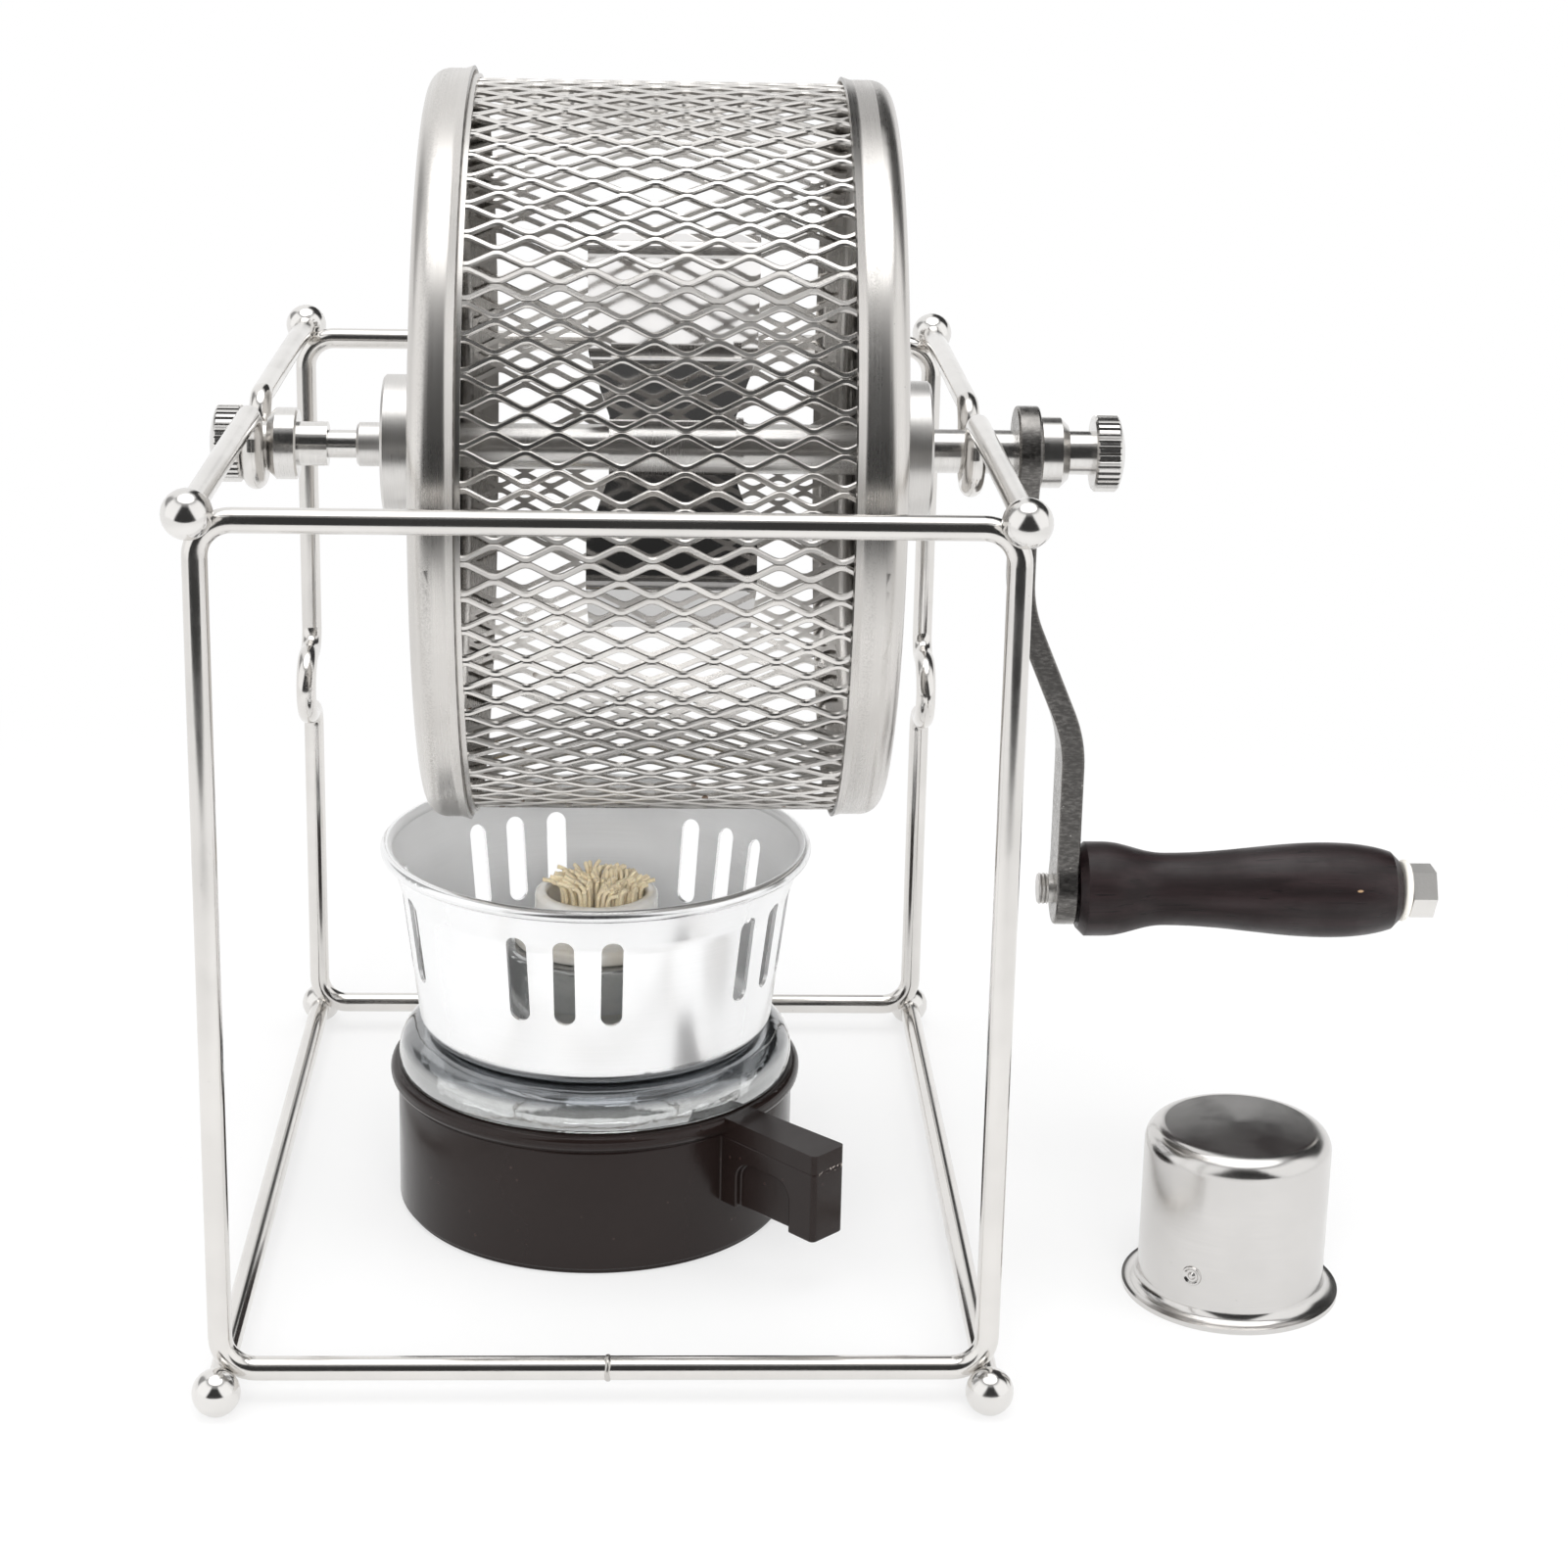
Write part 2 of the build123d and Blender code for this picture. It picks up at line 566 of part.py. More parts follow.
# Stop ring and paddle sleeve on the shaft
with BuildPart() as shaft_ring:
    revolve(ring_outline(AXLE, RING_X, SHAFT_STEP_X, RING_D / 2, LEFT_SHAFT_HOLE_R), axis=AXLE_AXIS)
shaft_ring.part.label = "shaft_ring"
export_step(shaft_ring.part, "parts/shaft_ring.step")

with BuildPart() as paddle_sleeve:
    revolve(ring_outline(AXLE, SLEEVE_X, RING_X, SLEEVE_D / 2, LEFT_SHAFT_HOLE_R), axis=AXLE_AXIS)
paddle_sleeve.part.label = "paddle_sleeve"
export_step(paddle_sleeve.part, "parts/paddle_sleeve.step")


def blade_corners(reach):
    """The corners cut off beside a blade's neck, so that it widens from the sleeve to its full width."""
    half_sleeve = SLEEVE_LENGTH / 2
    half_blade = PADDLE_WIDTH / 2
    flare_start = RING_D / 2 + WELD_GAP
    flare_end = flare_start + PADDLE_FLARE
    outside = half_blade + PADDLE_SHEET
    blade_plane = Plane(
        origin=(PADDLE_X, 0, AXIS_Z), x_dir=(1, 0, 0), z_dir=Vector(1, 0, 0).cross(reach)
    )
    with BuildSketch(blade_plane) as drawn:
        with BuildLine():
            Polyline(
                (half_sleeve, 0),
                (half_sleeve, flare_start),
                (half_blade, flare_end),
                (outside, flare_end),
                (outside, 0),
                close=True,
            )
        make_face()
        mirror(about=Plane.YZ)
    return drawn.sketch


# Paddle blades: bent sheet welded on the sleeve
upper_line = [
    (0, 0),
    (UPPER_CREASE_Y, UPPER_CREASE_Z),
    (UPPER_EDGE_Y, UPPER_EDGE_Z),
    (UPPER_EDGE_Y + UPPER_LIP_BACK, UPPER_EDGE_Z + UPPER_LIP_RISE),
]
lower_line = [
    (0, 0),
    (LOWER_CREASE_Y, LOWER_CREASE_Z),
    (LOWER_TIP_Y, LOWER_TIP_Z),
]
for name, blade_line in (("upper_paddle", upper_line), ("lower_paddle", lower_line)):
    blade_points = [(PADDLE_X, y, AXIS_Z + z) for y, z in blade_line]
    with BuildPart() as paddle:
        with BuildLine():
            run = FilletPolyline(*blade_points, radius=PADDLE_BEND_R)
        with BuildSketch(Plane(run @ 0, x_dir=(1, 0, 0), z_dir=run % 0)):
            Rectangle(PADDLE_WIDTH, PADDLE_SHEET)
        sweep()
        extrude(blade_corners(run % 0), amount=SLEEVE_D, both=True, mode=Mode.SUBTRACT)
        sleeve_clear = SLEEVE_D / 2 + WELD_GAP
        half_blade = PADDLE_WIDTH / 2
        revolve(
            ring_outline(AXLE, PADDLE_X - half_blade, PADDLE_X + half_blade, sleeve_clear, 0),
            axis=AXLE_AXIS,
            mode=Mode.SUBTRACT,
        )
    paddle.part.label = name
    export_step(paddle.part, f"parts/{name}.step")

# Crank arm: a flat bar with an S bend, a square eye on the shaft and a round one for the grip's bolt
with BuildPart() as crank_arm:
    arm_line = [
        (ARM_X, AXIS_Z + ARM_TOP_R),
        (ARM_X, AXIS_Z - ARM_BEND_START),
        (LOW_ARM_X, AXIS_Z - ARM_BEND_END),
        (LOW_ARM_X, GRIP_Z - ARM_LOW_R),
    ]
    arm_radii = [ARM_BEND_R + ARM_T / 2, ARM_BEND_R - ARM_T / 2]
    extrude(sheet_outline(Plane.XZ, arm_line, arm_radii, ARM_T, Side.LEFT), amount=ARM_TOP_R, both=True)
    with BuildSketch(Plane.YZ.offset(ARM_X)) as arm_face:
        with Locations((0, AXIS_Z)):
            Circle(ARM_TOP_R)
        with Locations((0, GRIP_Z)):
            Circle(ARM_LOW_R)
        with Locations((0, (AXIS_Z + GRIP_Z) / 2)):
            Rectangle(ARM_SHANK_WIDTH, CRANK_R)
        waist = arm_face.vertices().filter_by(lambda v: isclose(abs(v.X), ARM_SHANK_WIDTH / 2, abs_tol=1e-6))
        fillet(waist, radius=ARM_WAIST_R)
    extrude(amount=ARM_OFFSET + ARM_T, mode=Mode.INTERSECT)
    with BuildSketch(Plane.YZ.offset(ARM_X)):
        with Locations((0, AXIS_Z)):
            Rectangle(DRIVE_SQUARE + 2 * SEAT_GAP, DRIVE_SQUARE + 2 * SEAT_GAP)
        with Locations((0, GRIP_Z)):
            Circle(BOLT_D / 2 + SEAT_GAP)
    extrude(amount=ARM_OFFSET + ARM_T, mode=Mode.SUBTRACT)
crank_arm.part.label = "crank_arm"
export_step(crank_arm.part, "parts/crank_arm.step")

# Grip: turned wood on a bolt through the arm's lower eye, with a washer under the bolt's head
with BuildPart() as crank_grip:
    grip_hole_r = BOLT_D / 2 + BOLT_GAP
    flange_r = GRIP_FLANGE_D / 2
    end_r = GRIP_END_D / 2
    with BuildSketch(GRIP):
        with BuildLine():
            Polyline(
                (GRIP_END_X - GRIP_EDGE, end_r),
                (GRIP_END_X, end_r - GRIP_EDGE),
                (GRIP_END_X, grip_hole_r),
                (GRIP_X, grip_hole_r),
                (GRIP_X, flange_r - GRIP_EDGE),
                (GRIP_X + GRIP_EDGE, flange_r),
                (GRIP_X + GRIP_FLANGE_WIDTH, flange_r),
            )
            throat = Spline(
                (GRIP_X + GRIP_FLANGE_WIDTH, flange_r),
                (GRIP_X + GRIP_NECK_AT, GRIP_NECK_D / 2),
                tangents=[(1, 0), (1, 0)],
            )
            Spline(
                throat @ 1,
                (GRIP_X + GRIP_BULGE_AT, GRIP_BULGE_D / 2),
                (GRIP_END_X - GRIP_EDGE, end_r),
                tangents=[(1, 0), (1, -GRIP_END_FALL)],
            )
        make_face()
    revolve(axis=GRIP_AXIS)
crank_grip.part.label = "crank_grip"
export_step(crank_grip.part, "parts/crank_grip.step")

with BuildPart() as grip_washer:
    revolve(ring_outline(GRIP, WASHER_X, HEX_X, WASHER_D / 2, BOLT_D / 2 + SEAT_GAP), axis=GRIP_AXIS)
grip_washer.part.label = "grip_washer"
export_step(grip_washer.part, "parts/grip_washer.step")

with BuildPart() as grip_bolt:
    revolve(ring_outline(GRIP, LOW_ARM_X - BOLT_STUB, HEX_X, BOLT_D / 2, 0), axis=GRIP_AXIS)
    with BuildSketch(Plane.YZ.offset(HEX_X)):
        with Locations((0, GRIP_Z)):
            RegularPolygon(HEX_FLATS / 2, 6, major_radius=False)
    extrude(amount=HEX_HEIGHT)
grip_bolt.part.label = "grip_bolt"
export_step(grip_bolt.part, "parts/grip_bolt.step")


def handle_outline():
    """Plan of the burner's handle, widening a little from the base to its end."""
    turn = radians(HANDLE_AZIMUTH)
    handle_plane = Plane(
        origin=(BURNER_X, BURNER_Y, 0), x_dir=(cos(turn), sin(turn), 0), z_dir=(0, 0, 1)
    )
    half_root = HANDLE_ROOT_WIDTH / 2
    half_end = HANDLE_END_WIDTH / 2
    with BuildSketch(handle_plane) as drawn:
        with BuildLine():
            Polyline(
                (CUP_BORE_R, -half_root),
                (HANDLE_REACH, -half_end),
                (HANDLE_REACH, half_end),
                (CUP_BORE_R, half_root),
                close=True,
            )
        make_face()
        fillet(drawn.vertices().group_by(Axis.X)[-1], radius=HANDLE_EDGE)
    return drawn.sketch


# Burner base: a cup with the lower part of the handle, hollowed by an arch on each side
with BuildPart() as burner_cup:
    foot_r = CUP_R - FOOT_INSET
    revolve(
        outline(
            BURNER,
            (0, 0),
            (foot_r, 0),
            (foot_r, FOOT_HEIGHT),
            (CUP_R, FOOT_HEIGHT),
            (CUP_R, CUP_TOP),
            (CUP_BORE_R, CUP_TOP),
            (CUP_BORE_R, CUP_FLOOR),
            (0, CUP_FLOOR),
        ),
        axis=BURNER_AXIS,
    )
    extrude(handle_outline().moved(Location((0, 0, HANDLE_BOTTOM))), amount=CUP_TOP - HANDLE_BOTTOM)
    handle_turn = radians(HANDLE_AZIMUTH)
    along = Vector(cos(handle_turn), sin(handle_turn), 0)
    across = Vector(-sin(handle_turn), cos(handle_turn), 0)
    recess_floor = HANDLE_ROOT_WIDTH / 2 - HANDLE_RECESS
    for side in (-1, 1):
        recess_root = Vector(BURNER_X, BURNER_Y, 0) + across * (side * recess_floor)
        with BuildSketch(Plane(recess_root, x_dir=along * -side, z_dir=across * side)) as arch:
            with Locations((-side * (RECESS_START + RECESS_LENGTH / 2), HANDLE_BOTTOM)):
                Rectangle(RECESS_LENGTH, 2 * RECESS_HEIGHT)
            fillet(arch.vertices().group_by(Axis.Y)[-1], radius=RECESS_TOP_R)
        extrude(amount=HANDLE_END_WIDTH, mode=Mode.SUBTRACT)
burner_cup.part.label = "burner_cup"
export_step(burner_cup.part, "parts/burner_cup.step")

# Collar: the ring on the cup's rim, with the handle's top plate
with BuildPart() as burner_collar:
    with BuildSketch(BURNER):
        with BuildLine():
            FilletPolyline(
                (CUP_BORE_R, CUP_TOP),
                (CUP_R, CUP_TOP),
                (COLLAR_R, CUP_TOP + COLLAR_EDGE),
                (COLLAR_R, COLLAR_TOP),
                (CUP_BORE_R, COLLAR_TOP),
                radius=[0, COLLAR_EDGE, COLLAR_EDGE],
            )
            Line((CUP_BORE_R, COLLAR_TOP), (CUP_BORE_R, CUP_TOP))
        make_face()
    revolve(axis=BURNER_AXIS)
    extrude(handle_outline().moved(Location((0, 0, CUP_TOP))), amount=COLLAR_HEIGHT)
burner_collar.part.label = "burner_collar"
export_step(burner_collar.part, "parts/burner_collar.step")

# Glass bowl: it hangs in the cup by its shoulder, which rests on the collar
with BuildPart() as fuel_bowl:
    bowl_inside_r = BOWL_LOW_R - BOWL_WALL
    bowl_inside_z = BOWL_BOTTOM + BOWL_WALL
    ceiling_z = BOWL_TOP - BOWL_WALL
    with BuildSketch(BURNER):
        with BuildLine():
            FilletPolyline(
                (0, BOWL_BOTTOM),
                (BOWL_LOW_R, BOWL_BOTTOM),
                (BOWL_LOW_R, COLLAR_TOP),
                (BOWL_R, COLLAR_TOP),
                (BOWL_R, BOWL_TOP),
                (GLASS_NECK_R, BOWL_TOP),
                (GLASS_NECK_R, GLASS_NECK_TOP),
                radius=[BOWL_CORNER_R, 0, 0, BOWL_SHOULDER_R, 0],
            )
            Line((GLASS_NECK_R, GLASS_NECK_TOP), (GLASS_NECK_BORE_R, GLASS_NECK_TOP))
            FilletPolyline(
                (GLASS_NECK_BORE_R, GLASS_NECK_TOP),
                (GLASS_NECK_BORE_R, ceiling_z),
                (bowl_inside_r, ceiling_z),
                (bowl_inside_r, bowl_inside_z),
                (0, bowl_inside_z),
                radius=[0, BOWL_SHOULDER_R - BOWL_WALL, BOWL_CORNER_R - BOWL_WALL],
            )
            Line((0, bowl_inside_z), (0, BOWL_BOTTOM))
        make_face()
    revolve(axis=BURNER_AXIS)
fuel_bowl.part.label = "fuel_bowl"
export_step(fuel_bowl.part, "parts/fuel_bowl.step")

# Ceramic wick holder: a plug in the glass neck, a flange on it and the tube above
with BuildPart() as wick_holder:
    plug_r = GLASS_NECK_BORE_R - HOLDER_GAP
    revolve(
        outline(
            BURNER,
            (HOLDER_BORE_R, GLASS_NECK_TOP - HOLDER_PLUG),
            (plug_r, GLASS_NECK_TOP - HOLDER_PLUG),
            (plug_r, GLASS_NECK_TOP),
            (HOLDER_FLANGE_R, GLASS_NECK_TOP),
            (HOLDER_FLANGE_R, FLANGE_TOP - HOLDER_EDGE),
            (HOLDER_FLANGE_R - HOLDER_EDGE, FLANGE_TOP),
            (HOLDER_R, FLANGE_TOP),
            (HOLDER_R, HOLDER_TOP - HOLDER_EDGE),
            (HOLDER_R - HOLDER_EDGE, HOLDER_TOP),
            (HOLDER_BORE_R, HOLDER_TOP),
        ),
        axis=BURNER_AXIS,
    )
wick_holder.part.label = "wick_holder"
export_step(wick_holder.part, "parts/wick_holder.step")

# Cotton wick: a plain round bundle from the fuel up through the holder, with a rounded tip
with BuildPart() as wick:
    wick_r = HOLDER_BORE_R - WICK_GAP
    wick_foot = BOWL_BOTTOM + BOWL_WALL + WICK_FOOT_GAP
    wick_top = HOLDER_TOP + WICK_PROUD
    with BuildSketch(BURNER):
        with BuildLine():
            FilletPolyline(
                (0, wick_foot),
                (wick_r, wick_foot),
                (wick_r, wick_top),
                (0, wick_top),
                radius=[0, WICK_TIP_R],
            )
            Line((0, wick_top), (0, wick_foot))
        make_face()
    revolve(axis=BURNER_AXIS)
wick.part.label = "wick"
export_step(wick.part, "parts/wick.step")

# Windshield: a spun aluminium cup with a hole round the glass neck, a rolled bead and groups of slots
with BuildPart() as windshield:
    shield_line = [
        (GLASS_NECK_R + SHIELD_GAP, BOWL_TOP),
        (SHIELD_BOTTOM_R, BOWL_TOP),
        (SHIELD_MOUTH_R, SHIELD_FLARE_Z),
        (BEAD_RING_R, BEAD_Z),
    ]
    shield_radii = [SHIELD_CORNER_R, SHIELD_FLARE_BEND_R]
    revolve(sheet_outline(BURNER, shield_line, shield_radii, SHIELD_SHEET, Side.LEFT), axis=BURNER_AXIS)
    with BuildSketch(BURNER):
        with Locations((BEAD_RING_R, BEAD_Z)):
            Circle(BEAD_R)
    revolve(axis=BURNER_AXIS)
    slot_root = (GLASS_NECK_R + SHIELD_BOTTOM_R) / 2
    for group in range(SLOT_GROUPS):
        for place in range(SLOTS_PER_GROUP):
            step = place - (SLOTS_PER_GROUP - 1) / 2
            turn = radians(SLOT_AZIMUTH + group * 360 / SLOT_GROUPS + step * SLOT_PITCH)
            outward = Vector(cos(turn), sin(turn), 0)
            root = Vector(BURNER_X, BURNER_Y, BOWL_TOP + SLOT_MIDDLE_H) + outward * slot_root
            with BuildSketch(Plane(root, x_dir=(0, 0, 1), z_dir=outward)):
                SlotOverall(SLOT_LENGTH, SLOT_WIDTH)
    extrude(amount=SHIELD_RIM_R - slot_root, mode=Mode.SUBTRACT)
windshield.part.label = "windshield"
export_step(windshield.part, "parts/windshield.step")

# Snuffer cap, standing on its brim beside the burner
with BuildPart() as snuffer_cap:
    inside_r = SNUFFER_R - SNUFFER_SHEET
    shoulder_z = SNUFFER_HEIGHT - SNUFFER_CROWN
    with BuildSketch(SNUFFER):
        with BuildLine():
            FilletPolyline(
                (0, SNUFFER_HEIGHT),
                (SNUFFER_R, shoulder_z),
                (SNUFFER_R, SNUFFER_BRIM_T),
                (SNUFFER_BRIM_R, SNUFFER_BRIM_T),
                (SNUFFER_BRIM_R, 0),
                (inside_r, 0),
                (inside_r, shoulder_z - SNUFFER_SHEET),
                (0, SNUFFER_HEIGHT - SNUFFER_SHEET),
                radius=[
                    SNUFFER_BEND_R,
                    SNUFFER_FLARE_R,
                    0,
                    0,
                    SNUFFER_FLARE_R + SNUFFER_SHEET,
                    SNUFFER_BEND_R - SNUFFER_SHEET,
                ],
            )
            Line((0, SNUFFER_HEIGHT - SNUFFER_SHEET), (0, SNUFFER_HEIGHT))
        make_face()
    revolve(axis=SNUFFER_AXIS)
    dimple_ring = SNUFFER_R + DIMPLE_R - DIMPLE_DEPTH
    with Locations((SNUFFER_X, SNUFFER_Y, DIMPLE_HEIGHT)):
        with PolarLocations(dimple_ring, DIMPLE_COUNT, start_angle=DIMPLE_AZIMUTH):
            Sphere(DIMPLE_R, mode=Mode.SUBTRACT)
snuffer_cap.part.label = "snuffer_cap"
export_step(snuffer_cap.part, "parts/snuffer_cap.step")
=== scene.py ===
"""Looks of a hand-crank coffee roaster: a mesh drum on a wire stand over an alcohol burner.

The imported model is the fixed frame. Pieces that need a finer shape than their solids are modelled here, every
piece gets its finish, and the roaster stands on a pale floor in soft studio light. Sizes are in millimetres,
except in the studio, which is set out in metres.
"""

from __future__ import annotations

import json
import logging
import math
import random
from dataclasses import dataclass, replace
from enum import Enum
from typing import Sequence, Union

import bmesh
import bpy
from mathutils import Matrix, Vector

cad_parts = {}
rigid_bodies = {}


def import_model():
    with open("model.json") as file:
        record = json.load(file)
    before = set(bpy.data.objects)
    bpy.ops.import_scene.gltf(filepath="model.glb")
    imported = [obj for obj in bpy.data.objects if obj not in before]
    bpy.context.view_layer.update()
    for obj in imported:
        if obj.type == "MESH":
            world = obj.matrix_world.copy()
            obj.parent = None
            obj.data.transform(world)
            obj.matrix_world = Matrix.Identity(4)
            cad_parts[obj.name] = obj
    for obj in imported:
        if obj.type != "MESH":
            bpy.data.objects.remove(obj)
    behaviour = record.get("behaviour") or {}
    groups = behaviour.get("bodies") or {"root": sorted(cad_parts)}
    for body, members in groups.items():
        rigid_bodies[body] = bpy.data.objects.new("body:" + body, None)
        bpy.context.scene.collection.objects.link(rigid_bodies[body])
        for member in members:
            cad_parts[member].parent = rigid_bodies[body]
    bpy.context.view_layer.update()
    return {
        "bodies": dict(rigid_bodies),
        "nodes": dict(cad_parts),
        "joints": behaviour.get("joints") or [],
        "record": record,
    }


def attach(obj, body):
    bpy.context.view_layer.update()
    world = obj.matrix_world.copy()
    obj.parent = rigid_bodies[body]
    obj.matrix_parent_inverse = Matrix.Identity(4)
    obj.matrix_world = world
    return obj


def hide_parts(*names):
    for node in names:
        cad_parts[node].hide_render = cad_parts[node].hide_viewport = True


LOG = logging.getLogger("roaster")
MM = 0.001  # a millimetre in metres
AXIS_Z = 162.8  # height of the drum's axis
GRIP_Z = 69.5  # height of the grip's axis
BURNER_AT = (-3.5, 2.0)
SNUFFER_AT = (125.9, -43.0)
WORN_AT = (46.4, -48.3, 26.9)  # outer corner of the burner's handle, under its top plate
FULL_TURN = 2 * math.pi
CORNER_STEPS = 6  # steps in a section's rounded corner
SEAM = 0.0005 * MM  # points of a spun shape that lie closer are one

Colour = tuple[float, float, float]
Point = tuple[float, float, float]
Span = tuple[float, float]  # where something starts and where it ends
Section = Sequence[tuple[float, float, float]]  # along an axis, out from it, and the corner's rounding
Socket = bpy.types.NodeSocket
Value = Union[float, Sequence[float], Socket]


class Body(Enum):
    """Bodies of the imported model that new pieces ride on."""

    STAND = "stand"
    DRUM = "drum"
    BURNER = "burner"
    SNUFFER = "snuffer"


class Lathe(Enum):
    """Axes that pieces were turned or spun about: a point on each, and which way it runs."""

    SHAFT = ((0.0, 0.0, AXIS_Z), (1.0, 0.0, 0.0))
    GRIP = ((0.0, 0.0, GRIP_Z), (1.0, 0.0, 0.0))
    BURNER = ((BURNER_AT[0], BURNER_AT[1], 0.0), (0.0, 0.0, 1.0))
    SNUFFER = ((SNUFFER_AT[0], SNUFFER_AT[1], 0.0), (0.0, 0.0, 1.0))

    @property
    def place(self) -> Vector:
        """A point on the axis, in metres."""
        return Vector(self.value[0]) * MM

    @property
    def run(self) -> Vector:
        """The axis's direction."""
        return Vector(self.value[1])


class Board:
    """Places and joins nodes on one node tree."""

    SPOT_EDGE: Span = (1.0, 0.6)  # shares of a spot's half size between which it fades in

    def __init__(self, tree: bpy.types.NodeTree) -> None:
        """Keeps the tree that nodes are placed on.

        Args:
            tree: Node tree of a material, a world or a group.
        """
        self.tree = tree

    def node(self, kind: str, **settings: object) -> bpy.types.Node:
        """Adds a node.

        Args:
            kind: The node's type name.
            **settings: Properties to set on it.

        Returns:
            The new node.
        """
        made = self.tree.nodes.new(kind)
        for name, value in settings.items():
            setattr(made, name, value)
        return made

    def feed(self, socket: Socket, value: Value) -> None:
        """Links a socket to another one, or sets its plain value.

        Args:
            socket: The input to fill.
            value: An output socket, or a number, vector or colour.
        """
        if isinstance(value, bpy.types.NodeSocket):
            self.tree.links.new(value, socket)
        else:
            socket.default_value = value

    def math(self, operation: str, *values: Value, clamp: bool = False) -> Socket:
        """Adds a maths node.

        Args:
            operation: Name of the operation.
            *values: Its inputs, in order.
            clamp: Whether the result stays between 0 and 1.

        Returns:
            The result's socket.
        """
        made = self.node("ShaderNodeMath", operation=operation, use_clamp=clamp)
        for socket, value in zip(made.inputs, values):
            self.feed(socket, value)
        return made.outputs[0]

    def fold(self, operation: str, first: Value, *others: Value) -> Value:
        """Joins several values by one operation, from left to right.

        Args:
            operation: Name of the operation.
            first: The first value.
            *others: The values that follow.

        Returns:
            The result's socket.
        """
        for other in others:
            first = self.math(operation, first, other)
        return first

    def remap(
        self, value: Value, low: float, high: float, to_low: float = 0.0, to_high: float = 1.0
    ) -> Socket:
        """Carries a value from one range to another along a smooth step.

        Args:
            value: The value to carry over.
            low: Start of the old range.
            high: End of the old range.
            to_low: Start of the new range.
            to_high: End of the new range.

        Returns:
            The carried value's socket.
        """
        made = self.node("ShaderNodeMapRange", interpolation_type="SMOOTHSTEP")
        for name, given in (
            ("Value", value),
            ("From Min", low),
            ("From Max", high),
            ("To Min", to_low),
            ("To Max", to_high),
        ):
            self.feed(made.inputs[name], given)
        return made.outputs[0]

    def tint(self, factor: Value, first: Value, second: Value) -> Socket:
        """Mixes two colours.

        Args:
            factor: Share of the second colour.
            first: Colour at factor 0.
            second: Colour at factor 1.

        Returns:
            The mixed colour's socket.
        """
        made = self.node("ShaderNodeMix", data_type="RGBA")
        self.feed(made.inputs[0], factor)
        for socket, colour in ((made.inputs[6], first), (made.inputs[7], second)):
            self.feed(socket, colour if isinstance(colour, bpy.types.NodeSocket) else (*colour, 1.0))
        return made.outputs[2]

    def noise(self, vector: Socket, scale: Value, detail: float = 2.0, roughness: float = 0.5) -> Socket:
        """Adds noise.

        Args:
            vector: Where it is read.
            scale: Its fineness.
            detail: Number of finer layers.
            roughness: Strength of the finer layers.

        Returns:
            The noise value's socket.
        """
        made = self.node("ShaderNodeTexNoise")
        self.feed(made.inputs["Vector"], vector)
        self.feed(made.inputs["Scale"], scale)
        made.inputs["Detail"].default_value = detail
        made.inputs["Roughness"].default_value = roughness
        return made.outputs[0]

    def bump(self, height: Socket, distance: float, under: Socket | None = None) -> Socket:
        """Turns a height into a normal.

        Args:
            height: The height, from 0 to 1.
            distance: What a height of 1 stands for, in metres.
            under: A normal that the bumps lie on.

        Returns:
            The normal's socket.
        """
        made = self.node("ShaderNodeBump")
        made.inputs["Distance"].default_value = distance
        self.feed(made.inputs["Height"], height)
        if under:
            self.feed(made.inputs["Normal"], under)
        return made.outputs[0]

    def split(self, vector: Socket) -> bpy.types.bpy_prop_collection:
        """Splits a vector.

        Args:
            vector: The vector.

        Returns:
            The sockets of its three parts.
        """
        made = self.node("ShaderNodeSeparateXYZ")
        self.feed(made.inputs[0], vector)
        return made.outputs

    def facing(self) -> bpy.types.bpy_prop_collection:
        """The three parts of the way that the surface faces, in the object's own axes."""
        return self.split(self.node("ShaderNodeTexCoord").outputs["Normal"])

    def hypot(self, first: Value, second: Value) -> Socket:
        """Length of the line whose two sides are given."""
        squares = [self.math("MULTIPLY", side, side) for side in (first, second)]
        return self.math("SQRT", self.math("ADD", *squares))

    def stretched(self, place: Socket, scale: Sequence[float]) -> Socket:
        """Stretches a pattern.

        Args:
            place: The pattern's coordinates.
            scale: Its fineness along the three axes.

        Returns:
            The stretched coordinates' socket.
        """
        moved = self.node("ShaderNodeMapping")
        self.feed(moved.inputs["Vector"], place)
        moved.inputs["Scale"].default_value = scale
        return moved.outputs[0]

    def centred(self, place: Socket, lathe: Lathe) -> Socket:
        """Moves a pattern onto a lathe axis, with the axis along X.

        Args:
            place: Object coordinates.
            lathe: The axis.

        Returns:
            The moved coordinates' socket.
        """
        moved = self.node("ShaderNodeMapping", vector_type="TEXTURE")
        self.feed(moved.inputs["Vector"], place)
        moved.inputs["Location"].default_value = lathe.place
        if lathe.run.z:
            moved.inputs["Rotation"].default_value = (0.0, math.radians(-90.0), 0.0)
        return moved.outputs[0]

    def spot(self, place: Socket, middle: Sequence[float], size: Sequence[float]) -> Socket:
        """Marks a spot on a piece.

        Args:
            place: Object coordinates.
            middle: The spot's middle, in millimetres.
            size: Its half sizes along the three axes, in millimetres.

        Returns:
            The mask's socket, 1 in the middle and 0 outside.
        """
        moved = self.node("ShaderNodeMapping", vector_type="TEXTURE")
        self.feed(moved.inputs["Vector"], place)
        moved.inputs["Location"].default_value = Vector(middle) * MM
        moved.inputs["Scale"].default_value = Vector(size) * MM
        far = self.node("ShaderNodeVectorMath", operation="LENGTH")
        self.feed(far.inputs[0], moved.outputs[0])
        return self.remap(far.outputs["Value"], *self.SPOT_EDGE)


class Effect(Enum):
    """Surface effects that several finishes share, each one node group."""

    TURNED_LINES = "turned_lines"
    HANDLING = "handling_marks"
    SPECKS = "fine_specks"
    SKIN = "uneven_skin"


